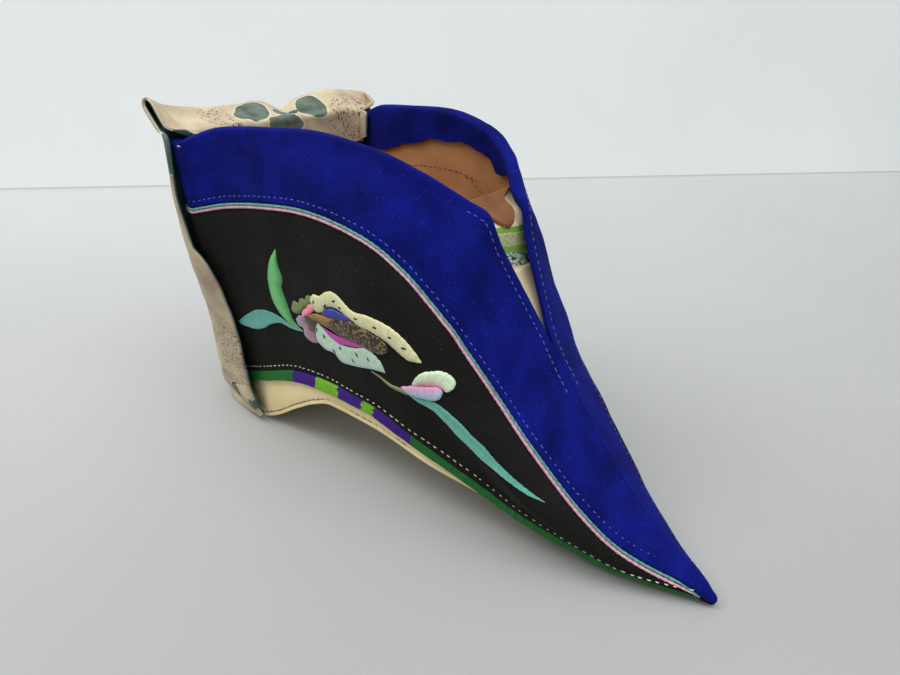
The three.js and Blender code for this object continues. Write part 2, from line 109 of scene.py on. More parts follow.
# A cubic through the rows; each inner slope is the harmonic mean of its neighbours, so it never overshoots
def lineThrough(rows, column):
    at, y = rows[:, 0], rows[:, column]
    step = np.diff(at)
    rise = np.diff(y) / step
    same = rise[:-1] * rise[1:] > 0
    slope = np.concatenate([rise[:1], np.zeros(len(y) - 2), rise[-1:]])
    slope[1:-1][same] = 2 * (rise[:-1] * rise[1:])[same] / (rise[:-1] + rise[1:])[same]

    def value(x):
        i = np.clip(np.searchsorted(at, x, side="right") - 1, 0, len(step) - 1)
        t = np.clip((x - at[i]) / step[i], 0, 1)
        lean = t * (1 - t) * ((1 - t) * slope[i] - t * slope[i + 1]) * step[i]
        return y[i] + (y[i + 1] - y[i]) * t * t * (3 - 2 * t) + lean

    return value


heelShare, archShare, foreShare, breadthShare, wedgeShare, edgeShare = (
    lineThrough(lastRows, column) for column in range(1, 7)
)
heightShare, spreadShare, bulgeShare, hollowPower, cordShare = (
    lineThrough(topRows, column) for column in range(1, 6)
)


# A share that goes from 0 to 1 between two values with flat ends
def smooth(value, low, high):
    t = np.clip((value - low) / (high - low), 0, 1)
    return t * t * (3 - 2 * t)


# Heights of the lines along the side at a share of the length
def featherAt(at):
    heel = shoe["heelHeight"] * heelShare(at)
    return heel + shoe["archHeight"] * archShare(at) + shoe["foreHeight"] * foreShare(at)


def topAt(at):
    return shoe["instepHeight"] * heightShare(at)


def sideHeight(at):
    return topAt(at) - featherAt(at)


def edgeTopAt(at):
    return featherAt(at) + shoe["edgeHeight"] * edgeShare(at)


def cordUpAt(at):
    lowest = (edgeTopAt(at) + shoe["seamGap"] - featherAt(at)) / sideHeight(at)
    return np.maximum(cordShare(at), lowest)


# Half width: from breadth to spread by a power of the height, plus a parabola that swells the side.
# In front the swelling starts late, so that the side first climbs upright out of its edge
def halfWidth(at, up):
    low = shoe["ballWidth"] / 2 * breadthShare(at)
    high = shoe["collarWidth"] / 2 * spreadShare(at)
    rise = np.clip(up, 0, None)
    late = smooth(at, 0.45, 0.62) * (1 - smooth(rise, 0.02, 0.42))
    swell = shoe["sideBulge"] * bulgeShare(at) * 4 * rise * (1 - rise) * (1 - late)
    under = np.minimum(up, 0) * sideHeight(at) * shoe["soleUndercut"]
    return low + (high - low) * rise ** hollowPower(at) + swell + under


# A point of the right side. around: -1 middle of the back, 0 back edge of the side, 1 toe, 1.5 round the toe.
# The back is a crowned flat with an arc at its edge, the side runs straight along the length, the toe is an arc.
def sidePoint(around, up):
    around, up = np.broadcast_arrays(np.asarray(around, float), np.asarray(up, float))
    at = np.clip(around, 0, 1)
    rise = np.clip(up, 0, None)
    edge = shoe["backLeanTop"] * rise + shoe["backLeanMiddle"] * 4 * rise * (1 - rise)
    half = halfWidth(at, up)
    roundness = np.clip(up, 0, 1)
    radius = shoe["heelRoundBottom"] * (1 - roundness) + shoe["heelRoundTop"] * roundness
    across = np.clip((around + 1) * 2, 0, 1)
    turn = np.clip(around + 0.5, 0, 0.5) * np.pi
    tip = np.clip(around - 1, 0, 0.5) * np.pi
    backX = edge - radius * np.cos(turn) - shoe["heelCrown"] * (1 - across**2)
    backY = -(half - radius) * across - radius * np.sin(turn)
    sideX = edge + at * (shoe["footLength"] - edge) + half * np.sin(tip)
    x = np.where(around < 0, backX, sideX)
    y = np.where(around < 0, backY, -half * np.cos(tip))
    return np.stack([x, y, featherAt(at) + sideHeight(at) * up], axis=-1)


# Soft troughs and ridges of the worn cloth: start and end (x, z), depth and width, all in millimetres
creases = [
    {"start": (18, 30), "end": (44, 24), "deep": 0.5, "wide": 5},
    {"start": (10, 62), "end": (30, 70), "deep": -0.4, "wide": 7},
    {"start": (40, 74), "end": (62, 68), "deep": 0.5, "wide": 6},
    {"start": (60, 60), "end": (84, 46), "deep": -0.5, "wide": 8},
    {"start": (66, 34), "end": (92, 24), "deep": 0.4, "wide": 6},
    {"start": (92, 34), "end": (112, 19), "deep": -0.4, "wide": 5},
    {"start": (104, 26), "end": (122, 12), "deep": 0.3, "wide": 3},
]


# Each crease is a bell across its line, fading over its last width at both ends; slow waves are added
def creaseDepth(points):
    x, z = points[..., 0] / mm, points[..., 2] / mm
    deep = np.zeros(x.shape)
    for crease in creases:
        (x0, z0), (x1, z1) = crease["start"], crease["end"]
        run = np.array([x1 - x0, z1 - z0])
        length = np.hypot(*run)
        t = ((x - x0) * run[0] + (z - z0) * run[1]) / length**2
        off = (x - x0 - t * run[0]) ** 2 + (z - z0 - t * run[1]) ** 2
        past = np.maximum(np.maximum(-t, t - 1), 0) * length
        deep += crease["deep"] * np.exp(-(off + past**2) / crease["wide"] ** 2)
    slow = np.sin(0.31 * x + 0.17 * z + 1.3) * np.sin(0.23 * z - 0.11 * x + 0.4)
    fine = np.sin(0.83 * x - 0.47 * z + 2.1) * np.sin(0.71 * z + 0.39 * x)
    fade = np.clip((132 - x) / 30, 0, 1)
    return (deep + 0.14 * slow + 0.05 * fine) * fade * mm


# The wall thins towards the throat, where half the opening's width is kept free between its edges
throatAt = np.linspace(0.4, shoe["throat"], 40)
throatX = sidePoint(throatAt, 1.0)[:, 0]
throatSpread = shoe["collarWidth"] / 2 * spreadShare(throatAt)
throatHalf = np.minimum(throatSpread, (shoe["throatNarrow"] + throatSpread) / 2)


def wallAt(at):
    spread = shoe["collarWidth"] / 2 * spreadShare(at)
    return np.clip((spread - shoe["throatNarrow"]) / 2, shoe["thinWall"], shoe["wall"])


# The same point moved inward by a depth along the surface's own normal, kept on its side of the middle
def insetPoint(around, up, depth, soft=0.0, free=False):
    around, up = np.broadcast_arrays(np.asarray(around, float), np.asarray(up, float))
    small = 0.004
    point = sidePoint(around, up)
    run = sidePoint(np.minimum(around + small, 1.5), up) - sidePoint(np.maximum(around - small, -1), up)
    climb = sidePoint(around, up + small) - sidePoint(around, up - small)
    inward = np.cross(climb, run)
    inward[..., 1] = np.where(around <= -0.999, 0, inward[..., 1])
    inward /= np.maximum(np.linalg.norm(inward, axis=-1, keepdims=True), 1e-12)
    depth = depth + soft * creaseDepth(point)
    moved = point + inward * np.asarray(depth)[..., None]
    half = np.interp(moved[..., 0], throatX, throatHalf, left=0, right=0) if free else 0
    moved[..., 1] = np.minimum(moved[..., 1], -np.maximum(half, 0.04 * mm))
    return moved


# Heights up the side at given distances along the cloth: the length of the cross section is summed in small
# steps from one height to another and read back; shares runs 0 to 1, with margins kept in real millimetres
def upsAcross(around, lowUp, highUp, margins, count):
    fine = np.linspace(0, 1, 61)
    ups = lowUp[:, None] + (highUp - lowUp)[:, None] * fine
    path = sidePoint(around[:, None], ups)
    steps = np.linalg.norm(np.diff(path, axis=1), axis=-1)
    length = np.concatenate([np.zeros((len(around), 1)), np.cumsum(steps, axis=1)], axis=1)
    total = length[:, -1]
    squeeze = np.minimum(1, total / (2.6 * max(margins)))
    low = np.asarray(margins)[None, :] * squeeze[:, None]
    inner = np.linspace(0, 1, count + 2)[1:-1]
    middle = low[:, -1:] + (total - 2 * low[:, -1])[:, None] * inner
    want = np.concatenate([low, middle, total[:, None] - low[:, ::-1]], axis=1)
    rows = [np.interp(want[i], length[i], ups[i]) for i in range(len(around))]
    return np.array(rows), want, total


# A mesh from a grid of points. Corners are taken around each cell; uv is in centimetres of cloth
def gridFaces(rows, columns, closeRows=False, closeColumns=False):
    i, j = np.meshgrid(
        np.arange(rows if closeRows else rows - 1),
        np.arange(columns if closeColumns else columns - 1),
        indexing="ij",
    )
    i2, j2 = (i + 1) % rows, (j + 1) % columns
    faces = np.stack([i * columns + j, i2 * columns + j, i2 * columns + j2, i * columns + j2], axis=-1)
    cells = np.stack([i, j], axis=-1)
    return faces.reshape(-1, 4), cells.reshape(-1, 2)


# The flow of volume through the faces tells if they point outwards
def turnedOut(points, faces):
    a, b, c = points[faces[:, 0]], points[faces[:, 1]], points[faces[:, 2]]
    volume = np.einsum("ij,ij->", a, np.cross(b, c))
    if faces.shape[1] == 4:
        volume += np.einsum("ij,ij->", a, np.cross(c, points[faces[:, 3]]))
    return faces if volume > 0 else faces[:, ::-1]


# A closed body between an outer and an inner grid of the same size, with quads along its four borders
def shellOf(outer, inner, uv):
    rows, columns = outer.shape[:2]
    points = np.concatenate([outer.reshape(-1, 3), inner.reshape(-1, 3)])
    faces, _ = gridFaces(rows, columns)
    count = rows * columns
    index = np.arange(count).reshape(rows, columns)
    border = np.concatenate([index[:, 0], index[-1, 1:], index[-2::-1, -1], index[0, -2:0:-1]])
    after = np.roll(border, -1)
    rim = np.stack([after, border, border + count, after + count], axis=-1)
    faces = np.concatenate([faces, faces[:, ::-1] + count, rim])
    uv = np.concatenate([uv.reshape(-1, 2), uv.reshape(-1, 2)])
    return points, turnedOut(points, faces), uv


def mirroredBoth(points, faces, uv):
    other = points * [1, -1, 1]
    allFaces = np.concatenate([faces, faces[:, ::-1] + len(points)])
    return np.concatenate([points, other]), allFaces, np.concatenate([uv, uv])


def joined(parts):
    start = np.cumsum([0] + [len(part[0]) for part in parts])
    points = np.concatenate([part[0] for part in parts])
    faces = np.concatenate([part[1] + first for part, first in zip(parts, start)])
    return points, faces, np.concatenate([part[2] for part in parts])


def addPiece(name, points, faces, uv, material, slot, nodes=(), sharp=50):
    mesh = bpy.data.meshes.new(name)
    mesh.vertices.add(len(points))
    mesh.vertices.foreach_set("co", np.asarray(points, np.float32).ravel())
    mesh.loops.add(faces.size)
    mesh.loops.foreach_set("vertex_index", faces.astype(np.int32).ravel())
    mesh.polygons.add(len(faces))
    mesh.polygons.foreach_set("loop_start", np.arange(0, faces.size, faces.shape[1], dtype=np.int32))
    layer = mesh.uv_layers.new(name="clothUv")
    layer.data.foreach_set("uv", np.asarray(uv[faces.ravel()] / cm, np.float32).ravel())
    mesh.update(calc_edges=True)
    mesh.validate()
    mesh.shade_smooth()
    mesh.set_sharp_from_angle(angle=math.radians(sharp))
    piece = bpy.data.objects.new(name, mesh)
    bpy.context.scene.collection.objects.link(piece)
    mesh.materials.append(material)
    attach(piece, "root")
    if nodes:
        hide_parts(*nodes)
    print("made", name, len(faces), "faces")
    return piece


# Nodes are added by type with their settings, and linked in one call
def addNode(tree, kind, inputs=None, **settings):
    node = tree.nodes.new(kind)
    for key, value in settings.items():
        setattr(node, key, value)
    for key, value in (inputs or {}).items():
        if isinstance(value, bpy.types.NodeSocket):
            tree.links.new(value, node.inputs[key])
        else:
            node.inputs[key].default_value = value
    return node


def mathNode(tree, operation, *values, clamp=False):
    return addNode(
        tree, "ShaderNodeMath", dict(enumerate(values)), operation=operation, use_clamp=clamp
    ).outputs[0]


def mixColour(tree, factor, first, second, blend="MIX"):
    node = addNode(tree, "ShaderNodeMix", data_type="RGBA", blend_type=blend)
    for socket, value in ((node.inputs[0], factor), (node.inputs[6], first), (node.inputs[7], second)):
        if isinstance(value, bpy.types.NodeSocket):
            tree.links.new(value, socket)
        else:
            socket.default_value = value
    return node.outputs[2]


def newGroup(name, inputs, outputs):
    group = bpy.data.node_groups.new(name, "ShaderNodeTree")
    for label, kind, value in inputs:
        socket = group.interface.new_socket(label, in_out="INPUT", socket_type=kind)
        if value is not None:
            socket.default_value = value
    for label, kind in outputs:
        group.interface.new_socket(label, in_out="OUTPUT", socket_type=kind)
    return group, group.nodes.new("NodeGroupInput"), group.nodes.new("NodeGroupOutput")


# sRGB colour as eye reads it, 0 to 255, made linear
def colour(red, green, blue):
    share = np.array([red, green, blue]) / 255
    linear = np.where(share <= 0.04045, share / 12.92, ((share + 0.055) / 1.055) ** 2.4)
    return (*linear.tolist(), 1.0)


# Threads crossing: two sets of rounded threads at a slant, lifted in turn, worn uneven by noise
def makeWeaveGroup():
    group, source, out = newGroup(
        "threadWeave",
        [("Vector", "NodeSocketVector", None), ("Threads", "NodeSocketFloat", 20.0),
         ("Slant", "NodeSocketFloat", 0.0), ("Uneven", "NodeSocketFloat", 0.3)],
        [("Height", "NodeSocketFloat"), ("Shade", "NodeSocketFloat")],
    )
    tree = group
    wobble = addNode(tree, "ShaderNodeTexNoise", {"Vector": source.outputs["Vector"], "Scale": 6.0, "Detail": 2.0})
    parts = addNode(tree, "ShaderNodeSeparateXYZ", {0: source.outputs["Vector"]})
    drift = mathNode(tree, "MULTIPLY", mathNode(tree, "SUBTRACT", wobble.outputs["Fac"], 0.5), 0.05)
    turns = mathNode(tree, "MULTIPLY", source.outputs["Threads"], 2 * math.pi)
    along = mathNode(tree, "MULTIPLY", mathNode(tree, "ADD", parts.outputs[0], drift), turns)
    across = mathNode(tree, "MULTIPLY", mathNode(tree, "ADD", parts.outputs[1], drift), turns)
    slanted = mathNode(tree, "ADD", along, mathNode(tree, "MULTIPLY", across, source.outputs["Slant"]))
    warp = mathNode(tree, "SINE", slanted)
    weft = mathNode(tree, "SINE", across)
    plain = mathNode(tree, "MULTIPLY", warp, weft)
    steep = mathNode(tree, "ABSOLUTE", source.outputs["Slant"])
    flat = mathNode(tree, "MULTIPLY", plain, mathNode(tree, "SUBTRACT", 1.0, steep, clamp=True))
    ribs = mathNode(tree, "ADD", flat, mathNode(tree, "MULTIPLY", warp, steep))
    rough = addNode(tree, "ShaderNodeTexNoise", {"Vector": source.outputs["Vector"], "Scale": 45.0, "Detail": 3.0})
    grain = mathNode(tree, "MULTIPLY", mathNode(tree, "SUBTRACT", rough.outputs["Fac"], 0.5), 4.0)
    mixed = addNode(tree, "ShaderNodeMix", {0: source.outputs["Uneven"]})
    tree.links.new(ribs, mixed.inputs[2])
    tree.links.new(grain, mixed.inputs[3])
    height = mathNode(tree, "MULTIPLY_ADD", mixed.outputs[0], 0.5, 0.5)
    tree.links.new(height, out.inputs["Height"])
    tree.links.new(mathNode(tree, "MULTIPLY_ADD", mixed.outputs[0], 0.5, 0.5, clamp=True), out.inputs["Shade"])
    return group


# Slow fading and small specks: a wide noise for tone, cells cut off near their centres for specks of lint and, on the
# blue twill, painted highlights of single threads
def makeAgeGroup():
    group, source, out = newGroup(
        "clothAge",
        [("Vector", "NodeSocketVector", None), ("Patches", "NodeSocketFloat", 0.8),
         ("Specks", "NodeSocketFloat", 14.0), ("Rare", "NodeSocketFloat", 0.82)],
        [("Tone", "NodeSocketFloat"), ("Speck", "NodeSocketFloat")],
    )
    wide = addNode(group, "ShaderNodeTexNoise",
                   {"Vector": source.outputs["Vector"], "Scale": source.outputs["Patches"], "Detail": 4.0})
    group.links.new(wide.outputs["Fac"], out.inputs["Tone"])
    cells = addNode(group, "ShaderNodeTexVoronoi",
                    {"Vector": source.outputs["Vector"], "Scale": source.outputs["Specks"]})
    near = mathNode(group, "LESS_THAN", cells.outputs["Distance"], 0.2)
    pick = addNode(group, "ShaderNodeSeparateColor", {0: cells.outputs["Color"]})
    rare = mathNode(group, "GREATER_THAN", pick.outputs[0], source.outputs["Rare"])
    group.links.new(mathNode(group, "MULTIPLY", near, rare), out.inputs["Speck"])
    return group


weaveGroup = makeWeaveGroup()
ageGroup = makeAgeGroup()


def placeGroup(tree, group, values):
    node = tree.nodes.new("ShaderNodeGroup")
    node.node_tree = group
    for key, value in values.items():
        if isinstance(value, bpy.types.NodeSocket):
            tree.links.new(value, node.inputs[key])
        else:
            node.inputs[key].default_value = value
    return node


def newMaterial(name, roughness=0.9, sheen=0.0, sheenTint=(1, 1, 1, 1), specular=0.3):
    material = bpy.data.materials.new(name)
    material.use_nodes = True
    tree = material.node_tree
    shader = tree.nodes["Principled BSDF"]
    shader.inputs["Roughness"].default_value = roughness
    shader.inputs["Specular IOR Level"].default_value = specular
    shader.inputs["Sheen Weight"].default_value = sheen
    shader.inputs["Sheen Tint"].default_value = sheenTint
    shader.inputs["Sheen Roughness"].default_value = 0.45
    return material, tree, shader


def addBump(tree, shader, height, strength, distance):
    bump = addNode(tree, "ShaderNodeBump", {"Height": height, "Strength": strength, "Distance": distance})
    tree.links.new(bump.outputs[0], shader.inputs["Normal"])


# Woven cloth: a base colour shaded by its own threads, faded in patches, with light specks: lint on the black and cream
# cloth, painted thread highlights on the blue twill
def clothMaterial(name, base, dark, look):
    material, tree, shader = newMaterial(
        name, look.get("roughness", 0.92), look.get("sheen", 0.0), look.get("sheenTint", (1, 1, 1, 1)),
        look.get("specular", 0.25)
    )
    place = addNode(tree, "ShaderNodeTexCoord").outputs["UV"]
    weave = placeGroup(tree, weaveGroup, {
        "Vector": place, "Threads": look["threads"], "Slant": look["slant"], "Uneven": look["uneven"]})
    age = placeGroup(tree, ageGroup, {
        "Vector": place, "Patches": look.get("patches", 0.8), "Specks": look.get("specks", 14.0),
        "Rare": look.get("rare", 1.1)})
    shade = mathNode(tree, "MULTIPLY_ADD", weave.outputs["Shade"], look.get("contrast", 0.5),
                     1 - look.get("contrast", 0.5))
    tone = addNode(tree, "ShaderNodeMapRange", {0: age.outputs["Tone"], 1: 0.3, 2: 0.7}).outputs[0]
    cloth = mixColour(tree, tone, dark, base)
    thread = mixColour(tree, shade, tuple(0.35 * c for c in dark[:3]) + (1,), cloth)
    # Specks of real lint; on the blue twill the same specks are painted glints of single threads
    flecked = mixColour(tree, mathNode(tree, "MULTIPLY", age.outputs["Speck"], look.get("lintAndGlint", 0.0)), thread,
                        look.get("lintAndGlintColour", (0.5, 0.5, 0.5, 1)))
    tree.links.new(flecked, shader.inputs["Base Color"])
    addBump(tree, shader, weave.outputs["Height"], look.get("bump", 0.5), look.get("relief", 0.12) * mm)
    return material


# The blue twill's light-blue specks are painted highlights of single threads, not lint
blueTwill = clothMaterial("blueTwill", colour(14, 27, 136), colour(8, 14, 86), {
    "threads": 12.0, "slant": 0.65, "uneven": 0.5, "sheen": 0.04, "sheenTint": colour(70, 90, 225),
    "contrast": 0.68, "bump": 0.7, "relief": 0.13, "patches": 1.3, "roughness": 0.95, "specular": 0.08,
    "lintAndGlint": 0.35, "specks": 22.0, "rare": 0.93, "lintAndGlintColour": colour(90, 108, 215)})
blackCloth = clothMaterial("blackCloth", colour(24, 23, 21), colour(16, 16, 14), {
    "threads": 20.0, "slant": 0.0, "uneven": 0.6, "sheen": 0.03, "sheenTint": colour(150, 140, 125),
    "contrast": 0.55, "bump": 0.6, "relief": 0.1, "lintAndGlint": 0.35, "specks": 18.0, "rare": 0.94,
    "lintAndGlintColour": colour(120, 115, 110), "roughness": 0.85, "specular": 0.15})
creamCloth = clothMaterial("creamCloth", colour(243, 226, 178), colour(224, 202, 148), {
    "threads": 11.0, "slant": 0.0, "uneven": 0.5, "contrast": 0.25, "bump": 0.6, "relief": 0.14,
    "lintAndGlint": 0.4, "specks": 5.0, "rare": 0.93, "lintAndGlintColour": colour(150, 120, 80)})
brownLining = clothMaterial("brownLining", colour(208, 152, 100), colour(176, 122, 78), {
    "threads": 12.0, "slant": 0.0, "uneven": 0.6, "contrast": 0.5, "bump": 0.7, "relief": 0.15})

# Stations round the shoe, closer where the throat ends, the back turns and the toe narrows
stations = np.unique(np.concatenate([
    np.linspace(-1, 0, 36),
    np.linspace(0, 1, 177),
    np.linspace(0.62, 0.70, 21),
    np.linspace(0.97, 1, 10),
    np.linspace(1, 1.5, 7),
]))
alongShare = np.clip(stations, 0, 1)


# Distance along the shoe at a station, for cloth that runs along it
def distanceAlong(around, up):
    path = sidePoint(around, up)
    steps = np.linalg.norm(np.diff(path, axis=0), axis=-1)
    return np.concatenate([[0.0], np.cumsum(steps)])


seamRun = distanceAlong(stations, cordUpAt(alongShare))
cordSlope = np.linalg.norm(
    sidePoint(stations, cordUpAt(alongShare) + 0.01) - sidePoint(stations, cordUpAt(alongShare) - 0.01), axis=-1
) / 0.02


# How far up the side a line lies that runs a distance above the cord seam; it tapers away at the toe
def upAboveCord(around, distance):
    at = np.clip(around, 0, 1)
    taper = np.clip((1 - at) / 0.05, 0.12, 1)
    slope = np.interp(around, stations, cordSlope)
    return np.minimum(cordUpAt(at) + distance * taper / slope, 0.995)


# Blue collar band
band = {
    "start": 1.35 * mm,  # above the cord seam
    "cloth": 0.7 * mm,
    "edgeRound": 0.55 * mm,
    "stitchInset": 1.7 * mm,
    "stitchSink": 0.16 * mm,
    "stitchLength": 3.0 * mm,
    "ragged": 0.25 * mm,
    "lip": 0.9 * mm,  # how much of the surface turns over the collar edge
}


# How far the facing hangs down inside: place along the side and depth in millimetres
facingRows = np.array([
    [-1, 9], [0, 12], [0.074, 12.6], [0.144, 10.8], [0.22, 8.4], [0.278, 8.0], [0.335, 7.2], [0.377, 6.9],
    [0.404, 7.8], [0.414, 10.4], [0.43, 9.6], [0.46, 5.5], [0.5, 3.6], [0.6, 2.6], [0.65, 2.4], [0.7, 0.9], [1.5, 0.9],
])


# Outer path: from the cords up the side, with a rounded start and a sunken stitch line, over the collar
# edge by half an ellipse, and down inside; the inner path is the same one cloth thickness deeper
def bandPath(depthIn):
    low = upAboveCord(stations, band["start"])
    margins = np.array([0, 0.12, 0.3, 0.5, 0.8, 1.2, 1.5, 1.7, 1.9, 2.2, 2.8]) * mm
    ridge = smooth(alongShare, shoe["throat"] - 0.01, shoe["throat"] + 0.02)[:, None]
    lip = band["lip"] * (1 - 0.6 * ridge)
    height = sideHeight(alongShare)[:, None]
    lipStart = 1 - (lip / height)[:, 0]
    ups, want, total = upsAcross(stations, low, np.maximum(lipStart, low + 0.02), margins, 26)
    fromStart = want
    fromTop = total[:, None] - want
    begin = np.clip(1 - fromStart / band["edgeRound"], 0, 1)
    rounded = band["cloth"] * (1 - np.sqrt(np.clip(1 - begin**2, 0, 1)))
    pucker = 0.7 + 0.3 * np.cos(2 * np.pi * seamRun / band["stitchLength"])[:, None]
    stitchRow = np.exp(-(((fromStart - band["stitchInset"]) / (0.5 * mm)) ** 2))
    topRow = np.exp(-(((fromTop - band["stitchInset"]) / (0.5 * mm)) ** 2))
    room = smooth(total, 3 * mm, 8 * mm)[:, None]
    topStitched = smooth(alongShare, 0.40, 0.48)[:, None] * (1 - smooth(alongShare, 0.70, 0.72))[:, None]
    sunk = band["stitchSink"] * pucker * room * (stitchRow + topRow * topStitched)
    depth = rounded + sunk + depthIn * (1 - begin * 0.9)
    rows = [insetPoint(stations[:, None], ups, depth, soft=1.0)]
    half = wallAt(alongShare)[:, None] / 2 * (1 - 0.4 * ridge)
    reach = half - depthIn * (1 - 0.5 * ridge)
    for angle in np.radians([15, 35, 60, 90, 120, 145, 165]):
        drop = (lip - (lip - depthIn) * math.sin(angle)) / height
        around = 1 - drop
        rows.append(insetPoint(stations[:, None], around, half - reach * math.cos(angle), soft=1.0, free=True))
    frayed = np.sin(seamRun / mm * 0.53) + 0.7 * np.sin(seamRun / mm * 1.37 + 1) * np.sin(seamRun / mm * 0.21)
    facing = np.interp(stations, facingRows[:, 0], facingRows[:, 1]) * mm
    facing = (facing + band["ragged"] * frayed) / sideHeight(alongShare)
    facing = np.minimum(facing, 0.8 * (1 - low))
    for share in (0.12, 0.25, 0.4, 0.55, 0.7, 0.85, 1.0):
        up = 1 - lip / height - share * (facing[:, None] - lip / height)
        rows.append(insetPoint(stations[:, None], up, 2 * half - depthIn, soft=1.0, free=True))
    return np.concatenate(rows, axis=1)


def pathUv(grid, run):
    steps = np.linalg.norm(np.diff(grid, axis=1), axis=-1)
    across = np.concatenate([np.zeros((grid.shape[0], 1)), np.cumsum(steps, axis=1)], axis=1)
    return np.stack([np.broadcast_to(run[:, None], across.shape), across], axis=-1)


bandOuter = bandPath(0.0)
bandInner = bandPath(band["cloth"])
addPiece("collarBandCloth", *mirroredBoth(*shellOf(bandOuter, bandInner, pathUv(bandOuter, seamRun))),
         blueTwill, "blue_cloth", ["collar_band"])

# Black side panel with its fold above the edge
panel = {
    "cloth": 1.2 * mm,
    "foldHeight": 2.6 * mm,
    "foldWider": 1.0 * mm,  # towards the toe
    "foldProud": 0.3 * mm,
    "foldStitch": 1.7 * mm,
}


def foldWider(at):
    return panel["foldWider"] * smooth(at, 0.4, 0.65) * (1 - smooth(at, 0.88, 0.97))


# The path climbs from the edge, over the fold as half an ellipse, and up to the cords, where it turns in
def panelPath(depthIn):
    low = (edgeTopAt(alongShare) + 0.1 * mm - featherAt(alongShare)) / sideHeight(alongShare)
    high = np.maximum(upAboveCord(stations, 0.15 * mm), low + 0.01)
    margins = np.array([0, 0.15, 0.4, 0.8, 1.2, 1.6, 2.0, 2.2, 2.4, 2.7, 3.2]) * mm
    ups, want, total = upsAcross(stations, low, high, margins, 30)
    fromTop = total[:, None] - want
    room = smooth(total, 1.5 * mm, 6 * mm)[:, None]
    fold = panel["foldHeight"] + foldWider(alongShare)[:, None]
    foldShare = want / fold
    dome = np.sqrt(np.clip(1 - (2 * foldShare - 1) ** 2, 0, 1)) * (foldShare < 1)
    slot = 0.12 * mm * np.exp(-(((want - fold) / (0.25 * mm)) ** 2))
    pucker = 0.06 * mm * np.cos(2 * np.pi * seamRun / band["stitchLength"])[:, None]
    row = np.exp(-(((want - panel["foldStitch"] - foldWider(alongShare)[:, None]) / (0.4 * mm)) ** 2))
    endTurn = np.clip(1 - fromTop / (0.7 * mm), 0, 1)
    rounded = 0.75 * mm * (1 - np.sqrt(np.clip(1 - endTurn**2, 0, 1)))
    depth = rounded + (slot - panel["foldProud"] * dome + row * (0.12 * mm + pucker)) * room
    depth = depth + depthIn * (1 - 0.6 * endTurn)
    return insetPoint(stations[:, None], ups, depth, soft=1.0)


panelOuter = panelPath(0.0)
panelInner = panelPath(panel["cloth"])
addPiece("panelCloth", *mirroredBoth(*shellOf(panelOuter, panelInner, pathUv(panelOuter, seamRun))),
         blackCloth, "black_cloth", ["upper"])

# Brown lining inside, from the insole up under the facing
lining = {"outside": 0.47, "cloth": 0.65 * mm, "underCollar": 2.5 * mm}


liningStations = stations[stations < 0.9]
liningAt = np.clip(liningStations, 0, 1)


def liningPath(depthIn):
    low = (edgeTopAt(liningAt) + 0.1 * mm - featherAt(liningAt)) / sideHeight(liningAt)
    top = 1 - lining["underCollar"] / sideHeight(liningAt)
    top = np.maximum(np.minimum(top, 0.93), low + 0.02)
    share = np.linspace(0, 1, 26)
    ups = low[:, None] + (top - low)[:, None] * share
    depth = lining["outside"] * wallAt(liningAt)[:, None] + depthIn
    return insetPoint(liningStations[:, None], ups, depth, soft=0.7, free=True)


liningOuter = liningPath(0.0)
liningInner = liningPath(lining["cloth"])
liningUv = pathUv(liningInner, seamRun[: len(liningStations)])
addPiece("liningCloth", *mirroredBoth(*shellOf(liningInner, liningOuter, liningUv)),
         brownLining, "brown_lining")

# Silk-wrapped edge: a rounded strip whose every thread is a ridge
edgeWrap = {"pitch": 0.42 * mm, "thread": 0.05 * mm, "round": 0.4 * mm, "thick": 1.6 * mm, "proud": 0.25 * mm}
wrapStations = np.concatenate([np.linspace(-1, 0, 240, endpoint=False), np.linspace(0, 0.988, 1700)])
wrapAt = np.clip(wrapStations, 0, 1)
wrapRun = distanceAlong(wrapStations, np.zeros(len(wrapStations)))


# Across, a flat strip with quarter round edges; along, each thread is the top half of a sine
def wrapPath(depthIn):
    share = np.array([0.02, 0.1, 0.22, 0.4, 0.6, 0.78, 0.9, 0.98])
    height = (edgeTopAt(wrapAt) - featherAt(wrapAt))[:, None]
    ups = share * height / sideHeight(wrapAt)[:, None]
    edge = np.minimum(share, 1 - share) * height
    turn = np.clip(1 - edge / edgeWrap["round"], 0, 1)
    rounded = edgeWrap["round"] * (1 - np.sqrt(np.clip(1 - turn**2, 0, 1)))
    thread = edgeWrap["thread"] * (1 - np.abs(np.sin(np.pi * wrapRun / edgeWrap["pitch"])))[:, None]
    loose = 0.06 * mm * np.sin(wrapRun / mm * 0.9)[:, None] * np.sin(wrapRun / mm * 0.37 + 1)[:, None]
    upright = halfWidth(wrapAt[:, None], ups[:, -1:]) - halfWidth(wrapAt[:, None], ups) + edgeWrap["proud"]
    upright *= (smooth(wrapStations, -0.3, 0.05) * (1 - 0.85 * smooth(wrapStations, 0.45, 0.68)))[:, None]
    return insetPoint(wrapStations[:, None], ups, rounded + thread + loose + depthIn - upright)


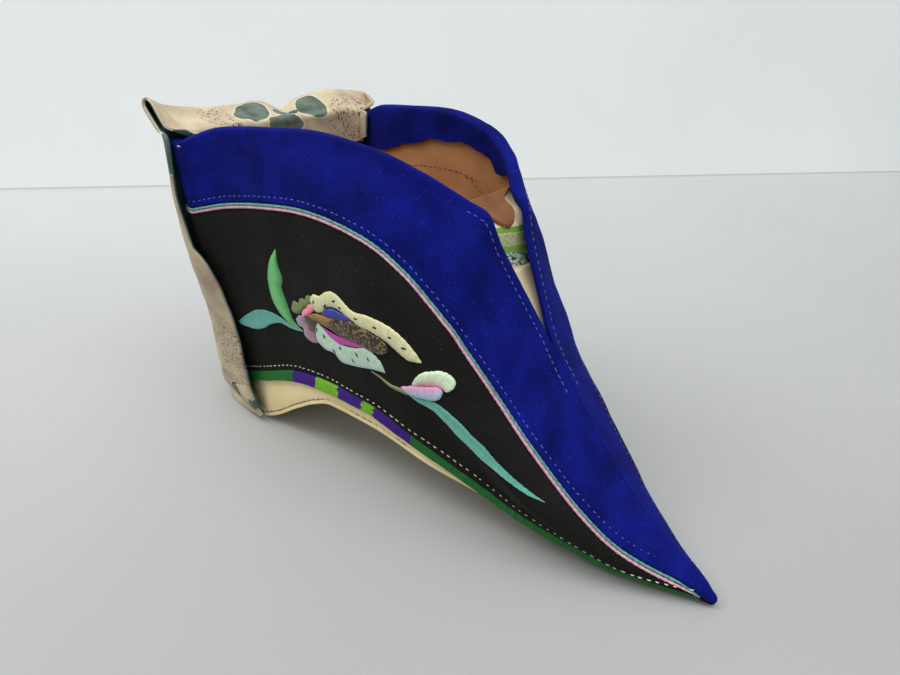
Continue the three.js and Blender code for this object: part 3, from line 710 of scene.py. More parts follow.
def silkMaterial(name, ramp):
    material, tree, shader = newMaterial(name, 0.6, specular=0.2)
    place = addNode(tree, "ShaderNodeTexCoord").outputs["UV"]
    parts = addNode(tree, "ShaderNodeSeparateXYZ", {0: place})
    jag = addNode(tree, "ShaderNodeTexNoise", {"Vector": place, "Scale": 8.0})
    shift = mathNode(tree, "MULTIPLY_ADD", mathNode(tree, "SUBTRACT", jag.outputs["Fac"], 0.5), 0.3,
                     parts.outputs[0])
    share = mathNode(tree, "DIVIDE", shift, 20.0)
    bands = addNode(tree, "ShaderNodeValToRGB", {0: share})
    bands.color_ramp.interpolation = "CONSTANT"
    bands.color_ramp.elements[0].color = ramp[0][1]
    bands.color_ramp.elements[1].position = ramp[1][0]
    bands.color_ramp.elements[1].color = ramp[1][1]
    for position, tint in ramp[2:]:
        bands.color_ramp.elements.new(position).color = tint
    strand = addNode(tree, "ShaderNodeTexNoise", {"Scale": 1.0, "Detail": 3.0})
    stretch = addNode(tree, "ShaderNodeMapping", {"Vector": place, "Scale": (60.0, 3.0, 1.0)})
    tree.links.new(stretch.outputs[0], strand.inputs["Vector"])
    shade = addNode(tree, "ShaderNodeMapRange", {0: strand.outputs["Fac"], 1: 0.3, 2: 0.7, 3: 0.55, 4: 1.15})
    tinted = mixColour(tree, 1.0, bands.outputs[0], shade.outputs[0], "MULTIPLY")
    tree.links.new(tinted, shader.inputs["Base Color"])
    addBump(tree, shader, strand.outputs["Fac"], 0.4, 0.05 * mm)
    return material


backRun = float(np.interp(0, wrapStations, wrapRun))
darkGreen, purple, lightGreen = colour(26, 104, 44), colour(58, 20, 122), colour(116, 178, 36)


# Share of the ramp's 200 mm at a distance in mm in front of the side's back edge
def rampAt(forward):
    return (backRun + forward * mm) / (200 * mm)


wrapSilk = silkMaterial("wrapSilk", [
    (0.0, darkGreen), (rampAt(30.8), purple), (rampAt(40.1), lightGreen), (rampAt(49.1), purple),
    (rampAt(57.3), lightGreen), (rampAt(61.9), purple), (rampAt(73.1), darkGreen)])
wrapOuter = wrapPath(0.0)
wrapInner = wrapPath(edgeWrap["thick"])
addPiece("edgeWrap", *mirroredBoth(*shellOf(wrapOuter, wrapInner, pathUv(wrapOuter, wrapRun))),
         wrapSilk, "green_silk", ["edge_board"])

# Sole: two slabs swept from the heel to the toe
sole = {"outsole": 1.3 * mm, "gap": 0.3 * mm, "round": 0.35 * mm, "bow": 0.25 * mm}


# How far the sole stands in from the edge: nearly flush behind, more in front
def soleInset(around):
    return (0.35 + 2.1 * smooth(around, 0.5, 0.66)) * mm


def soleBottomAt(at):
    depth = sole["outsole"] + sole["gap"] + shoe["heelHeight"] * wedgeShare(at)
    return np.maximum(0, featherAt(at) - depth)


# Each section is a flat rounded box: the side follows the last, the corners are quarter circles,
# the side bows a little between them
def slabSections(bottomAt, topAtLine, inset, bow):
    at = alongShare
    bottom, top = bottomAt(at), topAtLine(at)
    height = np.maximum(top - bottom, 0.05 * mm)
    turn = np.minimum(sole["round"], height * 0.45)
    rows = []
    for share, angle in ((0, -90), (0, -60), (0, -30), (0, 0), (0.33, 0), (0.67, 0), (1, 0), (1, 30), (1, 60), (1, 90)):
        middle = bottom + turn + (height - 2 * turn) * share
        z = middle + turn * math.sin(math.radians(angle))
        up = (z - featherAt(at)) / sideHeight(at)
        pull = turn * (1 - math.cos(math.radians(angle))) - bow * math.sin(math.pi * share)
        rows.append(insetPoint(stations, up, inset + pull))
    side = np.stack(rows, axis=1)
    shares = np.linspace(1, -1, 13)[1:-1]
    topAcross = side[:, -1:] * [1, 0, 1] + side[:, -1:] * [0, 1, 0] * shares[:, None]
    bottomAcross = side[:, :1] * [1, 0, 1] + side[:, :1] * [0, 1, 0] * shares[::-1][:, None]
    left = side[:, ::-1] * [1, -1, 1]
    return np.concatenate([side, topAcross, left, bottomAcross], axis=1)


def slabPiece(name, sections, material, slot, nodes):
    steps = np.linalg.norm(np.diff(sections, axis=1), axis=-1)
    across = np.concatenate([np.zeros((len(sections), 1)), np.cumsum(steps, axis=1)], axis=1)
    uv = np.stack([np.broadcast_to(seamRun[:, None], across.shape), across], axis=-1)
    rows, columns = sections.shape[:2]
    points = sections.reshape(-1, 3)
    faces, _ = gridFaces(rows, columns, closeColumns=True)
    middle = columns // 2
    index = np.arange(columns)
    pairs = index[: middle - 1]
    cap = np.stack([pairs, pairs + 1, columns - 2 - pairs, columns - 1 - pairs], axis=-1)
    far = cap[:, ::-1] + (rows - 1) * columns
    faces = np.concatenate([faces, cap, far])
    return addPiece(name, points, turnedOut(points, faces), uv.reshape(-1, 2), material, slot, nodes)


slabPiece("outsoleCloth", slabSections(
    soleBottomAt, lambda at: soleBottomAt(at) + sole["outsole"], soleInset(stations), 0.0),
    creamCloth, "cream_cloth", ["outsole"])
slabPiece("heelWedgeCloth", slabSections(
    lambda at: soleBottomAt(at) + sole["outsole"] + 0.1 * mm, lambda at: featherAt(at) - 0.1 * mm,
    soleInset(stations), sole["bow"]), creamCloth, "cream_cloth", ["heel_wedge"])
slabPiece("insoleCloth", slabSections(
    lambda at: edgeTopAt(at) + 0.1 * mm, lambda at: edgeTopAt(at) + 1.5 * mm, 2.4 * mm, 0.0),
    brownLining, "brown_lining", ["insole"])

# Cords: two lobes twisted round each other, swept along the seam
cord = {"diameter": 0.66 * mm, "sunk": 0.02 * mm, "leftSunk": 0.75 * mm, "pitch": 1.5 * mm, "lobe": 0.2,
        "first": 0.42 * mm, "apart": 0.68 * mm}


def cordLine(distance, count, sunk):
    around = np.linspace(-0.2, 0.985, count)
    return insetPoint(around, upAboveCord(around, distance), sunk, soft=1.0)


# Radius varies with twice the angle, and the angle turns once per pitch along the cord
def twistedTube(line, radius, pitch, lobe, sides=14):
    run = np.gradient(line, axis=0)
    run /= np.linalg.norm(run, axis=1, keepdims=True)
    first = np.cross(run, [0, 1, 0])
    first /= np.linalg.norm(first, axis=1, keepdims=True)
    second = np.cross(run, first)
    length = np.concatenate([[0], np.cumsum(np.linalg.norm(np.diff(line, axis=0), axis=1))])
    angle = np.linspace(0, 2 * np.pi, sides, endpoint=False)
    twist = 2 * np.pi * length[:, None] / pitch
    size = radius * (1 - lobe + lobe * np.abs(np.cos(angle - twist / 2)) * 1.6)
    size *= np.clip(0.45 + (length[-1] - length)[:, None] / (14 * mm), 0, 1)
    ring = np.cos(angle)[..., None] * first[:, None] + np.sin(angle)[..., None] * second[:, None]
    points = line[:, None] + ring * size[..., None]
    across = np.broadcast_to(angle * radius, size.shape)
    uv = np.stack([np.broadcast_to(length[:, None], size.shape), across], axis=-1)
    rows, columns = size.shape
    flat = points.reshape(-1, 3)
    faces, _ = gridFaces(rows, columns, closeColumns=True)
    half = columns // 2
    pairs = np.arange(half - 1)
    cap = np.stack([pairs, pairs + 1, columns - 2 - pairs, columns - 1 - pairs], axis=-1)
    faces = np.concatenate([faces, cap, cap[:, ::-1] + (rows - 1) * columns])
    return flat, turnedOut(flat, faces), uv.reshape(-1, 2)


def cordMaterial(name, base, fleck):
    material, tree, shader = newMaterial(name, 0.6, specular=0.35)
    place = addNode(tree, "ShaderNodeTexCoord").outputs["UV"]
    stretch = addNode(tree, "ShaderNodeMapping", {"Vector": place, "Rotation": (0, 0, 0.9), "Scale": (8.0, 50.0, 1.0)})
    strand = addNode(tree, "ShaderNodeTexNoise", {"Vector": stretch.outputs[0], "Scale": 1.0, "Detail": 3.0})
    shade = addNode(tree, "ShaderNodeMapRange", {0: strand.outputs["Fac"], 1: 0.35, 2: 0.65}).outputs[0]
    tree.links.new(mixColour(tree, shade, base, fleck), shader.inputs["Base Color"])
    addBump(tree, shader, strand.outputs["Fac"], 0.5, 0.08 * mm)
    return material


pinkCord = cordMaterial("pinkCordCotton", colour(170, 110, 136), colour(212, 166, 184))
tealCord = cordMaterial("tealCordCotton", colour(42, 96, 88), colour(104, 158, 146))
for word, place, material in (("pink", cord["first"], pinkCord), ("teal", cord["first"] + cord["apart"], tealCord)):
    right, left = (
        twistedTube(cordLine(place, 1100, sunk), cord["diameter"] / 2, cord["pitch"], cord["lobe"], 12)
        for sunk in (cord["sunk"], cord["leftSunk"])
    )
    left = (left[0] * [1, -1, 1], left[1][:, ::-1], left[2])
    addPiece(word + "Cords", *joined([right, left]), material, word + "_cord",
             ["cord_" + word + "_right", "cord_" + word + "_left"], sharp=180)

# A curve through points: each tangent comes from its neighbours, and cubic pieces join them
def curveThrough(points, share, at=None):
    points = np.asarray(points, float)
    if at is None:
        chord = np.linalg.norm(np.diff(points, axis=0), axis=1)
        at = np.concatenate([[0], np.cumsum(chord)]) / chord.sum()
    tangent = np.gradient(points, at, axis=0)
    i = np.clip(np.searchsorted(at, share, side="right") - 1, 0, len(at) - 2)
    step = (at[i + 1] - at[i])[:, None]
    t = (share - at[i])[:, None] / step
    ends = points[i] * (1 + 2 * t) * (1 - t) ** 2 + points[i + 1] * t * t * (3 - 2 * t)
    return ends + step * (tangent[i] * t * (1 - t) ** 2 - tangent[i + 1] * t * t * (1 - t))


# The station and height up the side of a point given in the side view; a few rounds settle the lean
def sideShares(x, z):
    at = x / shoe["footLength"]
    for _ in range(8):
        up = (z - featherAt(at)) / sideHeight(at)
        edge = shoe["backLeanTop"] * up + shoe["backLeanMiddle"] * 4 * up * (1 - up)
        at = (x - edge) / (shoe["footLength"] - edge)
    return at, up


# Short threads. Each is a capsule bent over the cloth: it rises by a sine and thins towards both ends
def stitchMesh(line, outward, period, length, radius, rise, wander=0.0, seed=1):
    steps = np.linalg.norm(np.diff(line, axis=0), axis=1)
    run = np.concatenate([[0], np.cumsum(steps)])
    count = max(int((run[-1] - length) / period), 1)
    draw = np.random.default_rng(seed)
    centre = length / 2 + period * np.arange(count) + draw.uniform(-0.12, 0.12, count) * period
    share = np.linspace(0, 1, 7)
    size = length * draw.uniform(0.8, 1.15, count)
    place = centre[:, None] + (share - 0.5) * size[:, None]
    point = np.stack([np.interp(place, run, line[:, k]) for k in range(3)], axis=-1)
    up = np.stack([np.interp(place, run, outward[:, k]) for k in range(3)], axis=-1)
    up /= np.linalg.norm(up, axis=-1, keepdims=True)
    ahead = np.gradient(point, axis=1)
    ahead /= np.linalg.norm(ahead, axis=-1, keepdims=True)
    beside = np.cross(up, ahead)
    arch = np.sin(np.pi * share)[None, :, None]
    turn = wander * draw.uniform(-1, 1, count)[:, None, None] * (share - 0.5)[None, :, None]
    point = point + up * (rise * arch - radius * 0.5) + beside * turn
    angle = np.linspace(0, 2 * np.pi, 6, endpoint=False)
    around = np.cos(angle)[:, None] * up[:, :, None] + np.sin(angle)[:, None] * beside[:, :, None]
    thick = radius * (0.35 + 0.65 * arch)
    rings = point[:, :, None] + around * thick[..., None]
    faces, _ = gridFaces(7, 6, closeColumns=True)
    caps = np.array([[0, 1, 2, 3], [0, 3, 4, 5], [39, 38, 37, 36], [41, 40, 39, 36]])
    one = np.concatenate([faces, caps])
    one = turnedOut(rings[0].reshape(-1, 3), one)
    every = (one[None] + 42 * np.arange(count)[:, None, None]).reshape(-1, 4)
    uv = np.stack(np.broadcast_arrays(share[None, :, None] * length, angle * radius, rings[..., 0])[:2], axis=-1)
    return rings.reshape(-1, 3), every, uv.reshape(-1, 2)


# A line on the side with the direction out of the cloth at each of its points
def lineOnSide(around, ups, depth):
    line = insetPoint(around, ups, depth, soft=1.0)
    return line, insetPoint(around, ups, depth - 0.5 * mm, soft=1.0) - line


def threadMaterial(name, tint, shadow, roughness=0.55):
    material, tree, shader = newMaterial(name, roughness, specular=0.4)
    place = addNode(tree, "ShaderNodeTexCoord").outputs["UV"]
    stretch = addNode(tree, "ShaderNodeMapping", {"Vector": place, "Rotation": (0, 0, 0.6), "Scale": (40.0, 160.0, 1.0)})
    twist = addNode(tree, "ShaderNodeTexNoise", {"Vector": stretch.outputs[0], "Scale": 1.0, "Detail": 2.0})
    tree.links.new(mixColour(tree, twist.outputs["Fac"], shadow, tint), shader.inputs["Base Color"])
    addBump(tree, shader, twist.outputs["Fac"], 0.4, 0.04 * mm)
    return material


# Sewing. around: first and last station; above: distance over the cord seam, or below the collar edge
sewing = {
    "seamPeriod": 1.7 * mm, "seamStitch": 1.15 * mm, "seamThread": 0.11 * mm,
    "foldPeriod": 1.85 * mm, "foldStitch": 1.0 * mm, "foldThread": 0.14 * mm,
    "solePeriod": 2.2 * mm, "soleStitch": 1.5 * mm, "soleThread": 0.11 * mm,
}
paleThread = threadMaterial("paleThread", colour(112, 122, 196), colour(40, 50, 132))
creamThread = threadMaterial("creamThread", colour(238, 228, 200), colour(170, 160, 130))
brownThread = threadMaterial("brownThread", colour(96, 66, 44), colour(60, 40, 26))
blackThread = threadMaterial("blackThread", colour(40, 36, 34), colour(20, 18, 17))


# Heights up the side at one distance below the collar edge
def upBelowTop(around, distance):
    ups, want, total = upsAcross(around, np.full(len(around), 0.6), np.ones(len(around)), [0, 0.6 * mm, 1.2 * mm], 40)
    return np.array([np.interp(total[i] - distance, want[i], ups[i]) for i in range(len(around))])


seamAround = np.linspace(-0.05, 0.985, 700)
seamLine = lineOnSide(seamAround, upAboveCord(seamAround, band["start"] + band["stitchInset"]), band["stitchSink"])
throatAround = np.linspace(0.52, 0.71, 300)
throatUp = upBelowTop(throatAround, band["lip"] + band["stitchInset"])
throatLine = lineOnSide(throatAround, throatUp, band["stitchSink"] * 0.3)
addPiece("bandStitches", *mirroredBoth(*joined([
    stitchMesh(*seamLine, sewing["seamPeriod"], sewing["seamStitch"], sewing["seamThread"], 0.12 * mm, 0.15 * mm, 3),
    stitchMesh(*throatLine, sewing["seamPeriod"], sewing["seamStitch"], sewing["seamThread"], 0.12 * mm, 0.15 * mm, 4),
])), paleThread, "blue_cloth", sharp=180)

foldAround = np.linspace(0.0, 0.985, 700)
foldUp = (edgeTopAt(foldAround) + 0.1 * mm - featherAt(foldAround)) / sideHeight(foldAround)
foldSlope = np.interp(foldAround, stations, cordSlope)
foldUp += (panel["foldStitch"] + foldWider(foldAround)) / foldSlope
foldLine = lineOnSide(foldAround, foldUp, -0.2 * mm)
addPiece("foldStitches", *mirroredBoth(*stitchMesh(
    *foldLine, sewing["foldPeriod"], sewing["foldStitch"], sewing["foldThread"], 0.14 * mm, 0.1 * mm, 5)),
    creamThread, "black_cloth", sharp=180)

soleAround = np.linspace(-0.4, 0.5, 400)
soleAt = np.clip(soleAround, 0, 1)
soleUp = (soleBottomAt(soleAt) + sole["outsole"] + 0.45 * mm - featherAt(soleAt)) / sideHeight(soleAt)
addPiece("soleStitches", *mirroredBoth(*stitchMesh(
    *lineOnSide(soleAround, soleUp, soleInset(soleAround) - 0.1 * mm),
    sewing["solePeriod"], sewing["soleStitch"], sewing["soleThread"], 0.05 * mm, 0.05 * mm, 6)),
    brownThread, "cream_cloth", sharp=180)

# A dark running stitch on the lining inside: place along the side and depth under the collar
innerSeam = np.array([[0.1, 16.6], [0.175, 16.4], [0.231, 16.1], [0.27, 16.1], [0.318, 16.6], [0.351, 18.3],
                      [0.381, 20.5], [0.39, 24.0]])
innerAround = curveThrough(innerSeam, np.linspace(0, 1, 200))
innerUp = 1 - innerAround[:, 1] * mm / sideHeight(innerAround[:, 0])
innerWall = lining["outside"] * wallAt(innerAround[:, 0]) + lining["cloth"]
innerLine = insetPoint(innerAround[:, 0], innerUp, innerWall, soft=0.7)
innerOut = insetPoint(innerAround[:, 0], innerUp, innerWall + 0.5 * mm, soft=0.7) - innerLine
addPiece("liningStitches", *mirroredBoth(*stitchMesh(
    innerLine, innerOut, 1.9 * mm, 1.2 * mm, 0.16 * mm, 0.12 * mm, 0.1 * mm, 8)), brownThread, "brown_lining", sharp=180)

# Embroidered spray. Each patch lies between two edges in the side view, in millimetres; its threads run
# from one edge to the other. tints: at the first edge, in the middle and at the second edge
spray = {"lift": 0.1 * mm, "dome": 0.34 * mm, "thread": 0.36 * mm, "ridge": 0.07 * mm, "jag": 0.16 * mm}
patches = [
    {"name": "greenLeaf", "lean": 0.05,
     "first": [(32.4, 61.4), (29.6, 57.2), (28.1, 52.7), (28.1, 48.5), (29.7, 44.3), (33.1, 41.7), (38.6, 40.8)],
     "second": [(32.4, 61.4), (32.5, 57.3), (33.3, 53.3), (32.5, 51.1), (33.4, 47.7), (34.1, 45.1), (35.2, 42.5),
                (38.6, 40.8)],
     "tints": [(88, 168, 92), (104, 186, 104), (70, 140, 80)]},
    {"name": "tealLeaf", "lean": -0.05,
     "first": [(10.8, 34.0), (16.1, 38.1), (21.1, 41.1), (25.1, 42.2), (28.9, 42.2), (32.5, 41.4), (38.2, 40.9)],
     "second": [(10.8, 34.0), (12.7, 33.6), (17.4, 33.9), (21.6, 35.7), (26.0, 38.7), (29.8, 40.2), (33.6, 40.0),
                (38.2, 40.7)],
     "tints": [(70, 145, 125), (95, 170, 160), (110, 185, 185)]},
    {"name": "oliveScallops", "lean": 0.0,
     "first": [(35.2, 46.5), (36.7, 48.8), (38.0, 48.7), (39.5, 50.6), (41.1, 50.8), (41.9, 52.0), (43.7, 52.5)],
     "second": [(36.1, 45.4), (37.9, 45.7), (39.1, 46.8), (40.0, 47.8), (41.3, 48.9), (42.8, 50.0), (44.0, 50.9)],
     "tints": [(100, 112, 62), (120, 132, 78), (78, 86, 46)]},
    {"name": "mauvePetals", "lean": 0.0,
     "first": [(37.7, 45.3), (36.5, 43.7), (37.0, 42.3), (38.7, 42.0), (38.9, 40.0), (40.9, 39.0), (43.5, 39.5)],
     "second": [(40.3, 46.1), (40.5, 44.6), (41.5, 43.9), (41.6, 42.3), (42.6, 42.1), (43.3, 41.1), (43.7, 40.2)],
     "tints": [(172, 148, 162), (160, 132, 150), (140, 108, 124)]},
    {"name": "brownPatch", "lean": 0.0,
     "first": [(40.0, 45.8), (40.3, 44.0), (41.5, 43.2), (42.9, 42.2)],
     "second": [(42.7, 46.7), (44.0, 46.5), (44.7, 45.5), (43.8, 43.1)],
     "tints": [(74, 52, 44), (62, 44, 38), (52, 38, 34)]},
    {"name": "pinkPetal", "lean": 0.0,
     "first": [(38.9, 46.2), (39.7, 47.5), (41.2, 48.6), (42.1, 50.0), (43.8, 50.6)],
     "second": [(39.5, 45.5), (40.8, 46.3), (42.2, 47.3), (43.5, 48.5), (44.9, 49.6)],
     "tints": [(240, 130, 150), (246, 146, 166), (228, 112, 132)]},
    {"name": "creamWing", "lean": 0.03,
     "first": [(43.2, 51.8), (44.5, 53.2), (46.4, 53.4), (48.2, 54.8), (50.4, 55.7), (52.8, 55.4), (54.8, 54.3),
               (57.1, 53.3), (61.6, 53.6), (65.4, 53.3), (68.7, 52.5), (71.6, 50.8), (73.7, 48.8), (75.7, 46.6)],
     "second": [(43.7, 50.6), (44.9, 48.8), (46.5, 49.2), (48.7, 51.4), (52.6, 52.1), (54.8, 51.7), (56.7, 51.1),
                (58.9, 50.4), (63.0, 50.0), (66.2, 49.3), (68.5, 48.3), (70.5, 47.2), (72.8, 46.2), (75.5, 46.3)],
     "tints": [(206, 204, 150), (216, 212, 168), (198, 196, 152)]},
    {"name": "mintWing", "lean": -0.03,
     "first": [(44.6, 45.6), (46.0, 44.5), (48.2, 43.1), (52.1, 42.5), (58.0, 43.9), (61.3, 45.1), (63.2, 44.1),
               (64.9, 42.7), (65.9, 40.4)],
     "second": [(43.4, 43.0), (43.5, 40.1), (45.5, 38.7), (49.1, 38.6), (51.0, 37.1), (53.7, 37.4), (59.6, 38.9),
                (63.4, 40.0), (65.9, 40.2)],
     "tints": [(176, 206, 180), (190, 216, 196), (186, 214, 202)]},
    {"name": "bluePatch", "lean": 0.0,
     "first": [(46.3, 48.8), (48.2, 50.7), (50.4, 51.5), (53.4, 51.4), (55.4, 51.2), (56.8, 50.6)],
     "second": [(46.3, 48.6), (48.4, 48.7), (50.9, 49.1), (53.6, 49.6), (55.3, 50.0), (56.8, 50.4)],
     "tints": [(38, 48, 150), (34, 42, 140), (28, 34, 118)]},
    {"name": "magentaPatch", "lean": 0.0,
     "first": [(46.0, 45.0), (49.3, 44.4), (53.8, 44.9), (58.1, 45.5), (60.5, 45.1)],
     "second": [(46.0, 45.0), (48.3, 43.2), (51.3, 42.6), (54.9, 43.4), (60.5, 44.9)],
     "tints": [(176, 36, 150), (200, 48, 170), (186, 40, 158)]},
    {"name": "goldBody", "lean": 0.0, "knots": 0.3 * mm,
     "first": [(50.4, 48.9), (53.6, 49.8), (57.8, 50.4), (62.4, 49.7), (65.9, 48.7), (67.4, 47.6), (67.6, 46.9)],
     "second": [(47.4, 45.8), (50.9, 45.3), (53.8, 44.9), (58.1, 45.3), (62.0, 45.0), (65.8, 45.3), (67.5, 46.6)],
     "tints": [(30, 25, 16), (40, 33, 18), (26, 22, 15)], "fleck": (124, 96, 42)},
    {"name": "goldHead", "lean": 0.0,
     "first": [(40.8, 46.4), (43.9, 47.9), (46.2, 48.4), (48.3, 48.4), (51.2, 49.1)],
     "second": [(40.8, 46.2), (42.6, 45.9), (45.3, 46.0), (47.0, 45.6), (49.6, 46.1)],
     "tints": [(152, 112, 44), (142, 102, 38), (112, 78, 30)]},
    {"name": "oliveStem", "lean": 0.0,
     "first": [(61.4, 38.9), (64.2, 38.3), (66.5, 37.4), (69.2, 37.5), (72.0, 37.4)],
     "second": [(61.3, 38.6), (64.0, 37.7), (66.0, 36.6), (68.9, 36.4), (71.7, 36.3)],
     "tints": [(130, 134, 86), (116, 122, 76), (96, 100, 60)]},
    {"name": "longLeaf", "lean": 0.02,
     "first": [(71.8, 36.7), (75.4, 36.9), (78.7, 37.3), (81.7, 36.6), (85.2, 34.8), (88.2, 32.6), (91.1, 30.5),
               (93.9, 28.0), (96.8, 26.0), (99.5, 24.2), (102.1, 22.7), (105.5, 20.7)],
     "second": [(71.8, 36.6), (74.9, 35.3), (78.5, 34.7), (81.8, 32.9), (84.7, 31.0), (88.3, 28.7), (91.6, 26.6),
                (94.4, 25.4), (97.1, 24.1), (101.1, 22.2), (103.3, 21.4), (105.5, 20.6)],
     "tints": [(70, 140, 122), (100, 178, 160), (122, 200, 188)]},
    {"name": "budUpper", "lean": 0.0,
     "first": [(73.3, 40.0), (74.5, 42.3), (75.9, 43.9), (77.9, 44.9), (80.1, 45.5), (81.9, 44.9), (83.2, 43.3),
               (82.9, 42.0), (82.0, 41.1)],
     "second": [(73.9, 40.0), (75.1, 40.5), (76.3, 40.9), (77.8, 41.3), (79.0, 41.6), (80.0, 41.7), (80.8, 41.6),
                (81.1, 41.4), (81.3, 41.1)],
     "tints": [(198, 222, 186), (206, 216, 190), (220, 138, 140)]},
    {"name": "budLower", "lean": 0.0,
     "first": [(70.1, 38.1), (73.1, 39.5), (75.3, 40.4), (76.8, 40.9), (78.4, 41.4), (79.7, 41.8), (80.7, 41.5)],
     "second": [(70.1, 37.9), (72.0, 37.0), (74.0, 36.9), (76.4, 37.2), (78.8, 37.8), (80.4, 39.0), (81.0, 40.6)],
     "tints": [(224, 150, 190), (188, 186, 214), (160, 190, 208)]},
]
# Small black threads on the wings: place in the side view and direction in degrees
dashes = [(44.7, 51.5, 80), (51.7, 54.0, 30), (48.6, 51.9, 60), (54.0, 53.0, 5), (58.5, 52.0, 5), (64.1, 51.7, 0),
          (68.3, 50.6, 5), (71.7, 49.0, 0), (44.2, 44.0, 85), (46.6, 42.6, 105), (52.1, 41.4, 120), (57.7, 42.6, 115),
          (55.9, 40.1, 120), (49.4, 39.6, 115), (61.5, 42.4, 110)]


# Silk: tint runs from one edge over the middle to the other, streaked along each thread
def satinMaterial(name, tints, fleck=None):
    material, tree, shader = newMaterial(name, 0.38, specular=0.5, sheen=0.1)
    place = addNode(tree, "ShaderNodeTexCoord").outputs["UV"]
    parts = addNode(tree, "ShaderNodeSeparateXYZ", {0: place})
    uneven = addNode(tree, "ShaderNodeTexNoise", {"Vector": place, "Scale": 1.7, "Detail": 2.0})
    across = mathNode(tree, "ADD", parts.outputs[1],
                      mathNode(tree, "MULTIPLY", mathNode(tree, "SUBTRACT", uneven.outputs["Fac"], 0.5), 0.5))
    ramp = addNode(tree, "ShaderNodeValToRGB", {0: across})
    ramp.color_ramp.elements[0].position = 0.05
    ramp.color_ramp.elements[0].color = colour(*tints[0])
    ramp.color_ramp.elements[1].position = 0.95
    ramp.color_ramp.elements[1].color = colour(*tints[2])
    ramp.color_ramp.elements.new(0.5).color = colour(*tints[1])
    stretch = addNode(tree, "ShaderNodeMapping", {"Vector": place, "Scale": (2.2, 1.3, 1.0)})
    strand = addNode(tree, "ShaderNodeTexNoise", {"Vector": stretch.outputs[0], "Scale": 1.0, "Detail": 3.0})
    shade = addNode(tree, "ShaderNodeMapRange", {0: strand.outputs["Fac"], 1: 0.3, 2: 0.7, 3: 0.72, 4: 1.12})
    tinted = mixColour(tree, 1.0, ramp.outputs[0], shade.outputs[0], "MULTIPLY")
    if fleck:
        solid = addNode(tree, "ShaderNodeTexCoord").outputs["Object"]
        cells = addNode(tree, "ShaderNodeTexVoronoi", {"Vector": solid, "Scale": 1900.0})
        pick = addNode(tree, "ShaderNodeSeparateColor", {0: cells.outputs["Color"]})
        bright = mathNode(tree, "GREATER_THAN", pick.outputs[0], 0.72)
        tinted = mixColour(tree, bright, tinted, colour(*fleck))
        shader.inputs["Roughness"].default_value = 0.3
    tree.links.new(tinted, shader.inputs["Base Color"])
    addBump(tree, shader, strand.outputs["Fac"], 0.25, 0.05 * mm)
    return material


# Ruled between the two edges; the top is a low half ellipse, each thread the upper half of a sine, and the
# ends of the threads are uneven by a seeded draw
def satinPatch(patch, seed):
    length = np.linalg.norm(np.diff(np.array(patch["first"]), axis=0), axis=1).sum() * mm
    threads = max(int(length / spray["thread"]), 4)
    along = np.linspace(0, 1, threads * 4 + 1)
    leaned = np.clip(along + patch["lean"] * np.sin(np.pi * along), 0, 1)
    first = curveThrough(patch["first"], along) * mm
    second = curveThrough(patch["second"], leaned) * mm
    width = np.linalg.norm(second - first, axis=1)
    draw = np.random.default_rng(seed)
    number = np.minimum((along * threads).astype(int), threads - 1)
    fade = np.minimum(1, width / (1.2 * mm))
    before = draw.uniform(0, 1, threads)[number] * spray["jag"] * fade / np.maximum(width, 0.3 * mm)
    after = draw.uniform(0, 1, threads)[number] * spray["jag"] * fade / np.maximum(width, 0.3 * mm)
    across = np.array([0, 0.05, 0.16, 0.33, 0.5, 0.67, 0.84, 0.95, 1.0])
    reach = -before[:, None] + across * (1 + before + after)[:, None]
    flat = first[:, None] + (second - first)[:, None] * reach[..., None]
    dome = np.sqrt(np.clip(1 - (2 * across - 1) ** 2, 0, 1)) * np.minimum(1, width / (2.5 * mm))[:, None]
    ridge = spray["ridge"] * (np.abs(np.sin(np.pi * along * threads)) - 1)[:, None]
    height = spray["lift"] + patch.get("lift", 0.0) + spray["dome"] * dome + ridge
    height = height * (0.25 + 0.75 * np.minimum(1, dome * 2.5))
    if "knots" in patch:
        bumps = np.sin(flat[..., 0] / mm * 7) * np.sin(flat[..., 1] / mm * 8 + flat[..., 0] / mm * 2)
        height = height + patch["knots"] * (0.5 + 0.5 * bumps) * dome
    around, up = sideShares(flat[..., 0], flat[..., 1])
    top = insetPoint(around, up, -height, soft=1.0)
    under = insetPoint(around, up, 0.25 * mm, soft=1.0)
    uv = np.stack(np.broadcast_arrays((along * threads)[:, None], across), axis=-1) * cm
    return shellOf(top, under, uv)


for number, patch in enumerate(patches):
    silk = satinMaterial(patch["name"] + "Silk", patch["tints"], patch.get("fleck"))
    patch["lift"] = 0.012 * mm * number
    addPiece(patch["name"], *mirroredBoth(*satinPatch(patch, number + 20)), silk, "teal_cord", sharp=70)

dashParts = []
for number, (x, z, degrees) in enumerate(dashes):
    reach = np.linspace(-1.0, 1.0, 9)
    around, up = sideShares((x + reach * math.cos(math.radians(degrees))) * mm,
                            (z + reach * math.sin(math.radians(degrees))) * mm)
    line = lineOnSide(around, up, -0.42 * mm)
    dashParts.append(stitchMesh(*line, 3 * mm, 1.7 * mm, 0.3 * mm, 0.1 * mm, 0, number))
addPiece("wingDashes", *mirroredBoth(*joined(dashParts)), blackThread, "black_cloth", sharp=180)


# Single loose threads: place in the side view, direction in degrees and length
def looseThreads(places, radius, seed):
    parts = []
    for number, (x, z, degrees, length) in enumerate(places):
        reach = np.linspace(-0.6, 0.6, 9) * length
        around, up = sideShares((x + reach * math.cos(math.radians(degrees))) * mm,
                                (z + reach * math.sin(math.radians(degrees))) * mm)
        line = lineOnSide(around, up, -0.1 * mm)
        parts.append(stitchMesh(*line, 30 * mm, length * mm, radius, 0.15 * mm, 0, seed + number))
    return mirroredBoth(*joined(parts))


